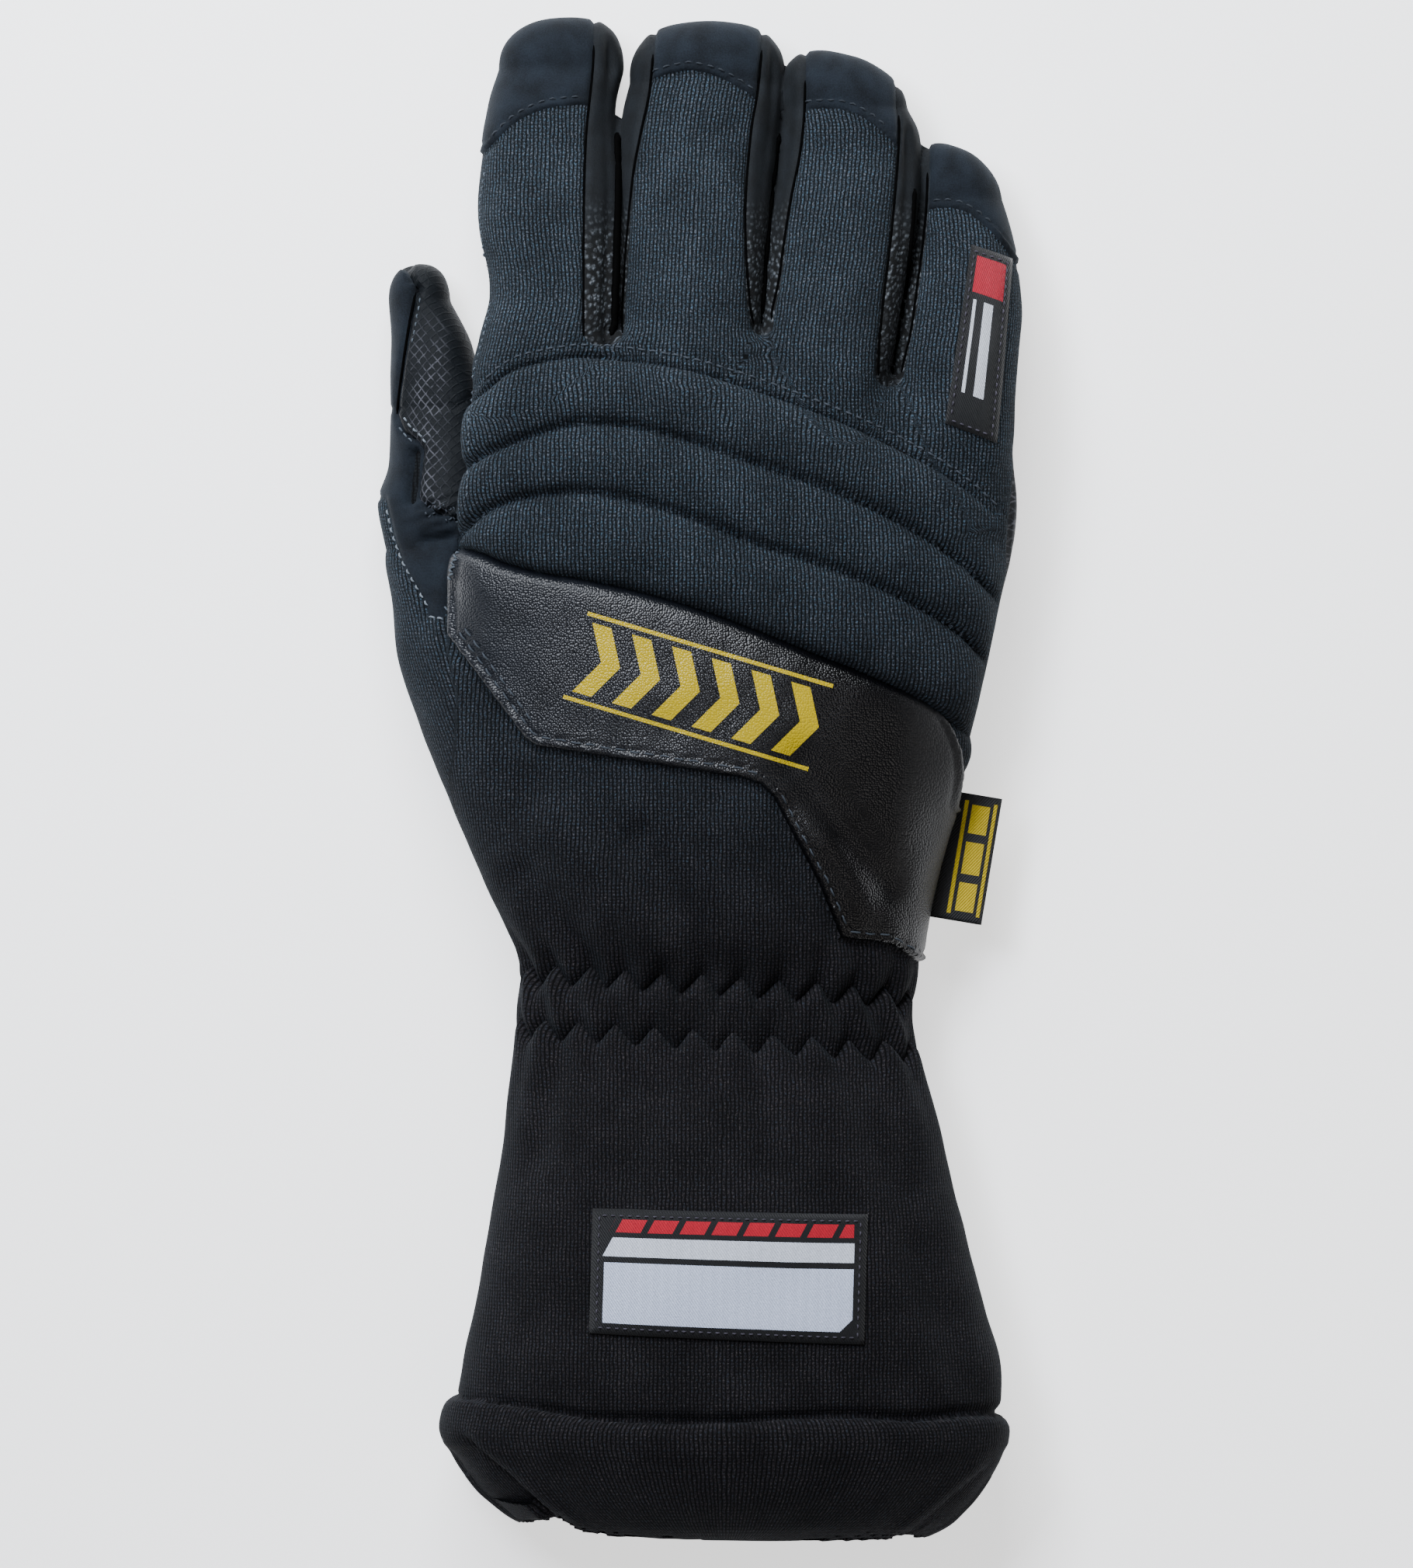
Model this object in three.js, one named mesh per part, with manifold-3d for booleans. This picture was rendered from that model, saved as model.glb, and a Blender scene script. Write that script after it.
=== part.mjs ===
// A fire-resistant work glove for the right hand, lying palm down with the fingers along +Y.
// Millimetres, +Z up, origin on the surface under the middle of the glove.
// Every tube of the glove (cuff, wrist, hand, fingers, thumb) is a skin over sections that stand across Y.
import * as THREE from 'three';
import { mergeVertices } from 'three/addons/utils/BufferGeometryUtils.js';
import Module from 'manifold-3d';

const wasm = await Module();
wasm.setup();

const wall = 2.4; // knit and leather wall of the hand, thumb and cuff
const seamGap = 0.3; // clear space between two sewn pieces
const crownCurve = 2.3; // superellipse power of the upper half of a section
const floorCurve = 3.2; // the lower half is flatter, because the glove lies on it
const restFlat = 1.08; // how much the lower half is pressed flat by the surface it rests on
const skyHeight = 90; // above everything, the top of every cutting block

// Facets round and along each form. The hollows are coarser than the outsides.
const facets = {
  hand: { round: 28, along: 8 },
  handHollow: { round: 16, along: 6 },
  finger: { round: 12, along: 5 },
  fingerHollow: { round: 8, along: 3 },
  thumb: { round: 12, along: 8 },
  cuff: { round: 32, along: 6 },
  cuffHollow: { round: 16, along: 3 },
  hem: { round: 40, along: 9 },
  hemHollow: { round: 16, along: 3 },
  wristHollow: { round: 16, along: 1 },
};

// Soft folds pressed into the upper side, each a line from one end to the other, seen from above.
const creases = [
  { x1: -52.0, y1: -153.0, x2: -28.8, y2: -172.0, width: 6, depth: 6.0 }, // left corner of the hem
  { x1: 60.0, y1: -157.0, x2: 43.4, y2: -174.0, width: 5, depth: 4.0 }, // right corner of the hem
  { x1: -10.0, y1: -63.0, x2: -16.0, y2: -92.0, width: 5, depth: 1.3 }, // down from the gathers
  { x1: 13.0, y1: -63.0, x2: 17.0, y2: -88.0, width: 5, depth: 1.1 },
  { x1: -31.0, y1: -63.0, x2: -37.0, y2: -86.0, width: 4, depth: 1.2 },
  { x1: 36.0, y1: -63.0, x2: 45.0, y2: -94.0, width: 5, depth: 1.4 },
  { x1: -12.0, y1: -20.0, x2: 8.0, y2: -46.0, width: 5, depth: 1.8 }, // folds over the heel of the hand
  { x1: -34.0, y1: -26.0, x2: -27.0, y2: -46.0, width: 5, depth: 1.4 },
  { x1: 20.0, y1: -5.0, x2: 42.0, y2: -26.0, width: 5, depth: 1.8 }, // dent in the leather patch
];

// Section columns: y along the glove, left and right edges, floor, belly and crown heights at the lowest,
// widest and highest points, and roll, how far the right edge is lowered and the left edge raised.
const cuffRows = [
  { y: -148, left: -57.0, right: 68.4, floor: 0, belly: 21, crown: 47, roll: 0 },
  { y: -136, left: -54.8, right: 69.0, floor: 0, belly: 21, crown: 48, roll: 0 },
  { y: -121, left: -51.6, right: 65.1, floor: 0, belly: 20, crown: 47, roll: 0 },
  { y: -99, left: -48.1, right: 59.6, floor: 0, belly: 19, crown: 44, roll: 0 },
  { y: -78, left: -44.7, right: 54.3, floor: 0, belly: 18, crown: 40, roll: 0 },
  { y: -61, left: -42.6, right: 49.8, floor: 0, belly: 16, crown: 35, roll: 0 },
];
const handRows = [
  { y: -46, left: -42.2, right: 49.4, floor: 0, belly: 16, crown: 35, roll: 0 },
  { y: -35, left: -44.1, right: 52.2, floor: 0, belly: 17, crown: 38, roll: 0 },
  { y: -14, left: -52.6, right: 55.6, floor: 0, belly: 18, crown: 41, roll: 0 },
  { y: 7, left: -57.4, right: 60.2, floor: 1, belly: 20, crown: 43, roll: 1 },
  { y: 29, left: -56.8, right: 65.4, floor: 4, belly: 23, crown: 44, roll: 3 },
  { y: 50, left: -55.4, right: 70.2, floor: 8, belly: 26, crown: 45, roll: 5 },
  { y: 66, left: -53.8, right: 71.6, floor: 11, belly: 28, crown: 45, roll: 6 },
  { y: 78, left: -52.6, right: 66.0, floor: 12, belly: 28, crown: 44, roll: 6 },
  { y: 88, left: -49.0, right: 52.0, floor: 13, belly: 28, crown: 43, roll: 4 },
  { y: 96, left: -40.0, right: 33.0, floor: 15, belly: 28, crown: 41, roll: 2 },
];
const handTube = { rows: handRows, tip: 102, dome: 6 };
const fingers = {
  index: {
    tip: 175,
    dome: 12,
    rows: [
      { y: 68, left: -49.5, right: -22.0, floor: 16, belly: 33, crown: 46, roll: 0 },
      { y: 92, left: -52.0, right: -20.4, floor: 14, belly: 30, crown: 45, roll: 0 },
      { y: 110, left: -48.2, right: -19.2, floor: 11, belly: 26, crown: 41, roll: 0 },
      { y: 128, left: -51.1, right: -19.2, floor: 7, belly: 21, crown: 35, roll: 0 },
      { y: 146, left: -49.9, right: -19.6, floor: 3, belly: 15, crown: 28, roll: 0 },
      { y: 163, left: -46.0, right: -18.0, floor: 0, belly: 10, crown: 22, roll: 0 },
    ],
  },
  middle: {
    tip: 173.6,
    dome: 13,
    rows: [
      { y: 68, left: -17.0, right: 12.0, floor: 14, belly: 31, crown: 46, roll: 0 },
      { y: 92, left: -18.2, right: 12.4, floor: 13, belly: 29, crown: 45, roll: 0 },
      { y: 110, left: -17.8, right: 13.8, floor: 11, belly: 26, crown: 41, roll: 0 },
      { y: 128, left: -17.8, right: 15.4, floor: 8, belly: 20, crown: 35, roll: 0 },
      { y: 146, left: -18.2, right: 17.6, floor: 3, belly: 14, crown: 28, roll: 0 },
      { y: 160, left: -16.8, right: 18.8, floor: 0, belly: 10, crown: 23, roll: 0 },
    ],
  },
  ring: {
    tip: 166.6,
    dome: 13,
    rows: [
      { y: 64, left: 17.0, right: 41.0, floor: 12, belly: 29, crown: 44, roll: 0 },
      { y: 88, left: 15.4, right: 42.6, floor: 11, belly: 28, crown: 43, roll: 0 },
      { y: 108, left: 15.4, right: 45.2, floor: 10, belly: 24, crown: 38, roll: 0 },
      { y: 126, left: 16.8, right: 47.4, floor: 5, belly: 18, crown: 32, roll: 0 },
      { y: 142, left: 19.0, right: 49.0, floor: 1, belly: 12, crown: 26, roll: 0 },
      { y: 154, left: 20.0, right: 47.6, floor: 0, belly: 10, crown: 22, roll: 0 },
    ],
  },
  little: {
    tip: 145,
    dome: 12,
    rows: [
      { y: 56, left: 46.0, right: 68.0, floor: 8, belly: 24, crown: 38, roll: 0 },
      { y: 76, left: 45.0, right: 71.4, floor: 8, belly: 23, crown: 38, roll: 0 },
      { y: 92, left: 45.6, right: 72.2, floor: 6, belly: 21, crown: 36, roll: 0 },
      { y: 107, left: 47.4, right: 73.2, floor: 3, belly: 17, crown: 31, roll: 0 },
      { y: 121, left: 49.2, right: 71.8, floor: 1, belly: 12, crown: 26, roll: 0 },
      { y: 133, left: 50.6, right: 69.0, floor: 0, belly: 10, crown: 21, roll: 0 },
    ],
  },
};
const thumb = {
  tip: 118.8,
  dome: 9,
  rows: [
    { y: -22, left: -49.4, right: -16.0, floor: 1, belly: 14, crown: 30, roll: 0 },
    { y: 0, left: -59.1, right: -22.0, floor: 0, belly: 14, crown: 32, roll: 0 },
    { y: 22, left: -67.8, right: -30.0, floor: 0, belly: 14, crown: 32, roll: 0 },
    { y: 43, left: -70.3, right: -39.0, floor: 0, belly: 13, crown: 29, roll: 0 },
    { y: 64, left: -73.2, right: -45.0, floor: 0, belly: 12, crown: 26, roll: 0 },
    { y: 82, left: -70.6, right: -48.0, floor: 0, belly: 11, crown: 23, roll: 0 },
    { y: 99, left: -70.8, right: -51.6, floor: 0, belly: 10, crown: 21, roll: 0 },
    { y: 110, left: -71.0, right: -57.2, floor: 0, belly: 9, crown: 18, roll: 0 },
  ],
};

// Seams along the finger backs. Each row is one place along the finger.
const backSeams = {
  index: { right: [[60, -26.2], [118, -26.6], [146, -26.2], [180, -24.4]] },
  middle: {
    left: [[60, -17.6], [121, -17.3], [146, -14.4], [180, -10.0]],
    right: [[60, 11.2], [121, 10.4], [146, 11.4], [180, 15.0]],
  },
  ring: {
    left: [[60, 16.2], [110, 17.8], [134, 21.2], [180, 24.0]],
    right: [[60, 40.6], [104, 41.4], [130, 44.4], [180, 45.6]],
  },
  little: { left: [[50, 45.6], [104, 48.8], [122, 51.2], [150, 52.4]] },
};
const crotches = { indexMiddle: 97, middleRing: 100, ringLittle: 89 }; // y of the side panels' lower ends
const palmSeamDrop = 5; // how far below the belly a finger's side panel meets the palm leather

// The three padded ribs over the knuckles lie between four curves. Each row is one place across the hand.
const ribRows = [
  { x: -51.0, top: 85.0, upper: 71.0, lower: 57.0, bottom: 51.5 },
  { x: -38.0, top: 93.0, upper: 78.2, lower: 64.0, bottom: 48.2 },
  { x: -23.0, top: 95.3, upper: 80.2, lower: 64.5, bottom: 45.2 },
  { x: -6.0, top: 92.8, upper: 77.0, lower: 60.4, bottom: 40.8 },
  { x: 10.0, top: 88.4, upper: 71.4, lower: 54.4, bottom: 34.0 },
  { x: 28.0, top: 81.6, upper: 65.8, lower: 47.6, bottom: 28.0 },
  { x: 46.0, top: 74.4, upper: 57.0, lower: 39.2, bottom: 20.6 },
  { x: 60.0, top: 66.6, upper: 49.0, lower: 30.4, bottom: 12.0 },
  { x: 64.5, top: 63.0, upper: 45.0, lower: 26.8, bottom: 9.4 },
];
const ribHeight = 3.6; // padding at the middle of a rib
const valleyHeight = 1.0; // cloth left in the valley between two ribs
const sideReach = 0.97; // how far down the side of the hand the ribs run, 1 being the widest place

const patchThickness = 1.2;
const patchLowerEdge = [
  [-52.4, 49.6], [-54.8, 40.0], [-55.4, 32.0], [-40.2, 10.6], [-35.6, 7.6], [-9.1, 3.3], [13.4, -1.9],
  [17.0, -6.0], [32.4, -37.2], [42.7, -38.6], [50.0, -42.6], [70.0, -30.0], [80.0, 2.0],
];

const pleats = 22; // gathers round the elastic wrist
const pleatDepth = 2.4;
const wristBand = { start: -61, end: -46.4, wall: 3.6, pinch: 1.4 };

const hem = { start: -146.6, end: -175, wall: 3.2 };
const hemRows = [
  { y: -175, left: -41.0, right: 56.0, floor: 2, belly: 17, crown: 34, roll: 0 },
  { y: -170, left: -48.0, right: 61.0, floor: 0, belly: 19, crown: 41, roll: 0 },
  { y: -163, left: -54.0, right: 66.0, floor: 0, belly: 20, crown: 46.5, roll: 0 },
  { y: -155, left: -58.4, right: 69.8, floor: 0, belly: 21, crown: 50, roll: 0 },
  { y: -149, left: -59.6, right: 70.6, floor: 0, belly: 21, crown: 51, roll: 0 },
  { y: -146, left: -58.6, right: 70.0, floor: 0, belly: 21, crown: 50, roll: 0 },
];

const cuffLabel = [[-24.4, -97.8], [38.2, -99.3], [37.2, -128.6], [-25.0, -126.0]];
const fingerLabel = [[62.4, 121.6], [71.6, 118.4], [67.8, 76.4], [55.8, 80.8]];
const labelThickness = 1;
const sideTag = { root: [58.7, -3.2], angle: -9.5, width: 11.8, length: 29.4, thickness: 1, height: 17 };

const finishes = {
  knit: { color: 0x23272b, roughness: 0.95 },
  suede: { color: 0x1f2328, roughness: 0.85 },
  gripLeather: { color: 0x18191c, roughness: 0.5 },
  smoothLeather: { color: 0x121317, roughness: 0.4 },
  wovenBlack: { color: 0x141518, roughness: 0.8 },
  wovenSilver: { color: 0xb9bcc8, roughness: 0.7 },
};

// Reads a section table at any y, with a smooth curve through the rows.
function sectionAt(rows, y) {
  const above = rows.findIndex((row) => row.y > y);
  const i = above < 0 ? rows.length - 2 : Math.max(above - 1, 0);
  const [a, b] = [rows[i], rows[i + 1]];
  const [before, after] = [rows[i - 1] ?? a, rows[i + 2] ?? b];
  const span = b.y - a.y;
  const t = THREE.MathUtils.clamp((y - a.y) / span, 0, 1);
  const section = { y };
  for (const key of Object.keys(a).filter((k) => k !== 'y')) {
    const slopeA = ((b[key] - before[key]) / (b.y - before.y)) * span;
    const slopeB = ((after[key] - a[key]) / (after.y - a.y)) * span;
    section[key] =
      (2 * t ** 3 - 3 * t ** 2 + 1) * a[key] +
      (t ** 3 - 2 * t ** 2 + t) * slopeA +
      (3 * t ** 2 - 2 * t ** 3) * b[key] +
      (t ** 3 - t ** 2) * slopeB;
  }
  return section;
}

function creaseDepth(x, y) {
  return creases.reduce((sum, { x1, y1, x2, y2, width, depth }) => {
    const [dx, dy] = [x2 - x1, y2 - y1];
    const share = THREE.MathUtils.clamp(((x - x1) * dx + (y - y1) * dy) / (dx * dx + dy * dy), 0, 1);
    const away = Math.hypot(x - x1 - share * dx, y - y1 - share * dy);
    return sum + depth * Math.exp(-((away / width) ** 2));
  }, 0);
}

// A point on a section, at an angle that runs from the right edge over the crown.
// Sinking moves the outline inwards, and a shrink of 0 closes a fingertip.
function pointOn(section, angle, sink = 0, shrink = 1) {
  const middle = (section.left + section.right) / 2;
  const reach = (section.right - section.left) / 2 - sink;
  const upper = Math.sin(angle) >= 0;
  const power = 2 / (upper ? crownCurve : floorCurve);
  const across = Math.sign(Math.cos(angle)) * Math.abs(Math.cos(angle)) ** power;
  const rise = Math.min(1, Math.abs(Math.sin(angle)) ** power * (upper ? 1 : restFlat));
  const height = upper ? section.crown - section.belly - sink : section.floor - section.belly + sink;
  const x = middle + reach * across * shrink;
  const dent = upper ? rise * creaseDepth(x, section.y) : 0;
  const z = section.belly + (height * rise - section.roll * across) * shrink - dent;
  return new THREE.Vector3(x, section.y, z);
}

// How high the back of the hand or of a finger stands at a place seen from above.
function backHeight(x, y) {
  const heights = [handTube, ...Object.values(fingers)].map(({ rows, tip, dome }) => {
    if (y < rows[0].y || y > tip - dome) return 0;
    const { left, right, belly: widest, crown, roll } = sectionAt(rows, Math.min(y, rows.at(-1).y));
    const across = (2 * x - left - right) / (right - left);
    if (Math.abs(across) >= 1) return 0;
    const rise = (1 - Math.abs(across) ** crownCurve) ** (1 / crownCurve);
    return widest + (crown - widest) * rise - roll * across - rise * creaseDepth(x, y);
  });
  return Math.max(...heights);
}

// Skins a closed surface over rings of equal point counts. A ring of one point closes an end.
function skin(rings) {
  const sides = Math.max(...rings.map((ring) => ring.length));
  const points = [];
  const faces = [];
  const starts = rings.map((ring) => points.push(...ring) - ring.length);
  const at = (r, j) => starts[r] + (rings[r].length > 1 ? j % sides : 0);
  for (let r = 0; r + 1 < rings.length; r++) {
    for (let j = 0; j < sides; j++) {
      if (rings[r].length > 1) faces.push([at(r, j), at(r + 1, j), at(r, j + 1)]);
      if (rings[r + 1].length > 1) faces.push([at(r, j + 1), at(r + 1, j), at(r + 1, j + 1)]);
    }
  }
  for (const [r, flip] of [[0, false], [rings.length - 1, true]]) {
    if (rings[r].length === 1) continue;
    const middle = new THREE.Vector3().addVectors(rings[r][0], rings[r][sides >> 1]).multiplyScalar(0.5);
    const centre = points.push(middle) - 1;
    for (let j = 0; j < sides; j++) {
      faces.push(flip ? [centre, at(r, j + 1), at(r, j)] : [centre, at(r, j), at(r, j + 1)]);
    }
  }
  return new THREE.BufferGeometry().setFromPoints(points).setIndex(faces.flat());
}

function toSolid(geometry) {
  const bare = new THREE.BufferGeometry().setAttribute('position', geometry.getAttribute('position'));
  if (geometry.index) bare.setIndex(geometry.index);
  const merged = mergeVertices(bare, 1e-4);
  return new wasm.Manifold(
    new wasm.Mesh({
      numProp: 3,
      vertProperties: new Float32Array(merged.attributes.position.array),
      triVerts: new Uint32Array(merged.index.array),
    }),
  );
}

// A tube through a section table. Sinking it makes the hollow inside, and a negative sink the cloth on top.
function tube({ rows, tip, dome }, { round, along }, sink = 0, from = rows[0].y, to = rows.at(-1).y) {
  const end = tip ? tip - sink - dome : to;
  const rings = [];
  const ring = (y, shrink) => {
    const section = { ...sectionAt(rows, THREE.MathUtils.clamp(y, rows[0].y, rows.at(-1).y)), y };
    const turn = (2 * Math.PI) / round;
    return Array.from({ length: round }, (_, j) => pointOn(section, turn * j, sink, shrink));
  };
  for (let i = 0; i <= along; i++) rings.push(ring(THREE.MathUtils.lerp(from, end, i / along), 1));
  if (tip) {
    for (const share of [0.5, 0.82, 0.96]) {
      rings.push(ring(end + dome * share, (1 - share ** 2.5) ** (1 / 2.5)));
    }
    const last = sectionAt(rows, rows.at(-1).y);
    rings.push([new THREE.Vector3((last.left + last.right) / 2, end + dome, last.belly)]);
  }
  return toSolid(skin(rings));
}

function curveAt(pairs, y) {
  const rows = pairs.map(([at, x]) => ({ y: at, x }));
  return sectionAt(rows, THREE.MathUtils.clamp(y, rows[0].y, rows.at(-1).y)).x;
}

// A cutting block along Y, open to the sky. Its left, right, lowLeft and lowRight are functions of y.
function block(from, to, steps, left, right, lowLeft, lowRight = lowLeft) {
  const rings = Array.from({ length: steps + 1 }, (_, i) => {
    const y = THREE.MathUtils.lerp(from, to, i / steps);
    return [
      new THREE.Vector3(right(y), y, lowRight(y)),
      new THREE.Vector3(right(y), y, skyHeight),
      new THREE.Vector3(left(y), y, skyHeight),
      new THREE.Vector3(left(y), y, lowLeft(y)),
    ];
  });
  return toSolid(skin(rings));
}

// A vertical prism over an outline drawn from above.
function prism(outline, low = -10) {
  const shape = new THREE.Shape(outline.map(([x, y]) => new THREE.Vector2(x, y)));
  const geometry = new THREE.ExtrudeGeometry(shape, { depth: skyHeight - low, bevelEnabled: false });
  return toSolid(geometry.translate(0, 0, low));
}

function biggest(solid) {
  return solid.decompose().sort((a, b) => b.volume() - a.volume())[0];
}

function join(solids) {
  return solids.reduce((all, solid) => all.add(solid));
}

function cut(solid, ...tools) {
  return tools.reduce((rest, tool) => rest.subtract(tool), solid);
}

// The hand with its four fingers, as one outside form or one hollow.
function handForm(sink) {
  const handFacets = sink > 0 ? facets.handHollow : facets.hand;
  const fingerFacets = sink > 0 ? facets.fingerHollow : facets.finger;
  return join([
    tube(handTube, handFacets, sink, handRows[0].y - Math.max(sink, 0)),
    ...Object.values(fingers).map((finger) => tube(finger, fingerFacets, sink)),
  ]);
}

const handOutside = handForm(0);
const handOverlay = handForm(-seamGap);
const thumbHollow = tube(thumb, facets.fingerHollow, wall);
const handShell = cut(handOutside, handForm(wall), thumbHollow);

const belly = (rows, side) => (y) => {
  const section = sectionAt(rows, THREE.MathUtils.clamp(y, rows[0].y, rows.at(-1).y));
  return section.belly - side * section.roll;
};
const seam = (name, side, shift) => (y) => curveAt(backSeams[name][side], y) + shift;
const far = (x) => () => x;

// The side panels between two fingers, grown or shrunk by half a seam.
function sideBlock(name, leftFinger, rightFinger, grow) {
  const bellies = [leftFinger, rightFinger].map((finger) => belly(fingers[finger].rows, 0));
  const low = (y) => Math.min(...bellies.map((line) => line(y))) - palmSeamDrop - grow;
  const [left, right] = [seam(leftFinger, 'right', -grow), seam(rightFinger, 'left', grow)];
  return block(crotches[name] - grow, 180, 6, left, right, low);
}

const sidePanels = {
  indexMiddle: ['index', 'middle'],
  middleRing: ['middle', 'ring'],
  ringLittle: ['ring', 'little'],
};
const halfGap = seamGap / 2;
const grownSides = Object.entries(sidePanels).map(([name, pair]) => sideBlock(name, ...pair, halfGap));

// All that belongs to the back of the glove: above the belly line, and between the seams on each finger.
function backBlock(lift) {
  const strips = {
    index: [far(-90), seam('index', 'right', -lift)],
    middle: [seam('middle', 'left', lift), seam('middle', 'right', -lift)],
    ring: [seam('ring', 'left', lift), seam('ring', 'right', -lift)],
    little: [seam('little', 'left', lift), far(90)],
  };
  const low = (rows, side) => (y) => belly(rows, side)(y) + lift;
  return join([
    block(handRows[0].y - 10, 104, 8, far(-90), far(90), low(handRows, -1), low(handRows, 1)),
    ...Object.entries(strips).map(([name, [left, right]]) => {
      const { rows } = fingers[name];
      return block(rows[1].y + 4, 180, 6, left, right, low(rows, 0));
    }),
  ]);
}

// A fingertip cap's lower edge is an arc across the finger back.
const capEdges = {
  index: { left: [-60, 138], middle: [-38, 151.5], right: [-24, 151.5] },
  middle: { left: [-20, 162], middle: [0, 162], right: [20, 156] },
  ring: { left: [15, 152.5], middle: [36, 152.5], right: [52, 145] },
  little: { left: [48, 129.5], middle: [60, 129.5], right: [76, 120] },
};
function capPrism({ left, middle, right }, raise) {
  const arc = new THREE.QuadraticBezierCurve(
    new THREE.Vector2(...left),
    new THREE.Vector2(middle[0], 2 * middle[1] - (left[1] + right[1]) / 2),
    new THREE.Vector2(...right),
  );
  const edge = arc.getPoints(4).map((p) => [p.x, p.y + raise]);
  return prism([...edge, [right[0], 190], [left[0], 190]]);
}

const backHalf = backBlock(halfGap);
const backLayer = cut(handShell.intersect(backHalf), ...grownSides);
const caps = {};
for (const [name, edge] of Object.entries(capEdges)) {
  caps[name] = biggest(backLayer.intersect(capPrism(edge, halfGap)));
}
const grownCaps = Object.values(capEdges).map((edge) => capPrism(edge, -halfGap));
const backPanel = biggest(cut(backLayer, ...grownCaps));
const palmPanel = biggest(cut(handShell, backBlock(-halfGap), ...grownSides));

// The thumb: cloth on its outer side, leather on the side that grips. The outline is drawn from above.
const thumbClothOutline = [
  [-66.0, 125.0], [-65.0, 113.0], [-67.3, 99.0], [-69.6, 84.0], [-70.0, 74.0], [-68.0, 64.0], [-54.0, 57.0],
  [-50.0, 57.0], [-50.0, -40.0], [-90.0, -40.0], [-90.0, 125.0],
];
const gussetOutline = [
  [-90.0, 68.0], [-73.4, 64.6], [-70.5, 54.0], [-67.3, 47.6], [-61.6, 36.6], [-57.0, 36.6], [-54.8, 52.0],
  [-30.0, 60.0], [-30.0, -40.0], [-90.0, -40.0],
];
const thumbSeamHeight = 8; // on the outer side the cloth comes down to here

function insideOf(solid, outline, low) {
  return biggest(solid.intersect(prism(outline, low)));
}

function outsideOf(solid, outline, low) {
  const shifts = [[seamGap, 0], [-seamGap, 0], [0, seamGap], [0, -seamGap]];
  const moved = shifts.map(([dx, dy]) => prism(outline.map(([x, y]) => [x + dx, y + dy]), low - seamGap));
  return biggest(cut(solid, ...moved));
}

function thumbPieces() {
  const outer = biggest(cut(tube(thumb, facets.thumb), thumbHollow, handOverlay));
  const cloth = insideOf(outer, thumbClothOutline, thumbSeamHeight);
  return {
    leather: outsideOf(outer, thumbClothOutline, thumbSeamHeight),
    gusset: outsideOf(cloth, gussetOutline, thumbSeamHeight),
    base: insideOf(cloth, gussetOutline, thumbSeamHeight),
  };
}

// A piece sewn on top of a form, inside an outline drawn from above.
function layer(form, outline, low, thickness) {
  return biggest(form(-seamGap - thickness).intersect(prism(outline, low)).subtract(form(-seamGap)));
}

const ribEdgesAt = (x) => sectionAt(ribRows.map(({ x: y, ...edges }) => ({ y, ...edges })), x);
const ribEnds = [ribRows[0].x, ribRows.at(-1).x];
const ribColumns = Array.from({ length: 16 }, (_, c) => THREE.MathUtils.lerp(...ribEnds, c / 15));

// The padded ribs: a sheet draped over the hand whose thickness swells between the valleys.
function knucklePad() {
  const columns = ribColumns.length - 1;
  const ribSteps = 4;
  const edgeNames = ['bottom', 'lower', 'upper', 'top'];
  const top = [];
  const under = [];
  for (let rib = 0; rib < 3; rib++) {
    for (let step = rib ? 1 : 0; step <= ribSteps; step++) {
      const share = step / ribSteps;
      const swell = valleyHeight + (ribHeight - valleyHeight) * Math.sqrt(Math.sin(Math.PI * share));
      for (let c = 0; c <= columns; c++) {
        const x = ribColumns[c];
        const edges = ribEdgesAt(x);
        const y = THREE.MathUtils.lerp(edges[edgeNames[rib]], edges[edgeNames[rib + 1]], share);
        const section = sectionAt(handRows, Math.min(y, 88));
        const across = (x - (section.left + section.right) / 2) / ((section.right - section.left) / 2);
        const reach = Math.min(Math.abs(across), sideReach);
        const angle = Math.acos(Math.sign(across) * reach ** (crownCurve / 2));
        const base = pointOn({ ...section, y }, angle);
        base.z = Math.max(base.z, backHeight(base.x, y));
        const fade = Math.min(1, 8 * (1 - ((2 * c) / columns - 1) ** 2));
        const lift = seamGap + valleyHeight + (swell - valleyHeight) * fade;
        top.push(base.clone().add(new THREE.Vector3(across / 2, 0, 1).setLength(lift)));
        under.push(base.clone().setZ(base.z - 4));
      }
    }
  }
  const width = columns + 1;
  const depth = top.length / width;
  const faces = [];
  const quad = (a, b, c, d) => faces.push([a, b, c], [a, c, d]);
  const lowAt = (r, c) => top.length + r * width + c;
  const topAt = (r, c) => r * width + c;
  for (let r = 0; r + 1 < depth; r++) {
    for (let c = 0; c < columns; c++) {
      quad(topAt(r, c), topAt(r, c + 1), topAt(r + 1, c + 1), topAt(r + 1, c));
      quad(lowAt(r, c), lowAt(r + 1, c), lowAt(r + 1, c + 1), lowAt(r, c + 1));
    }
    quad(lowAt(r, 0), topAt(r, 0), topAt(r + 1, 0), lowAt(r + 1, 0));
    quad(lowAt(r + 1, columns), topAt(r + 1, columns), topAt(r, columns), lowAt(r, columns));
  }
  for (let c = 0; c < columns; c++) {
    quad(lowAt(0, c + 1), topAt(0, c + 1), topAt(0, c), lowAt(0, c));
    quad(lowAt(depth - 1, c), topAt(depth - 1, c), topAt(depth - 1, c + 1), lowAt(depth - 1, c + 1));
  }
  const skin = new THREE.BufferGeometry().setFromPoints([...top, ...under]).setIndex(faces.flat());
  const sheet = toSolid(skin);
  return biggest(sheet.subtract(handOverlay));
}

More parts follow.
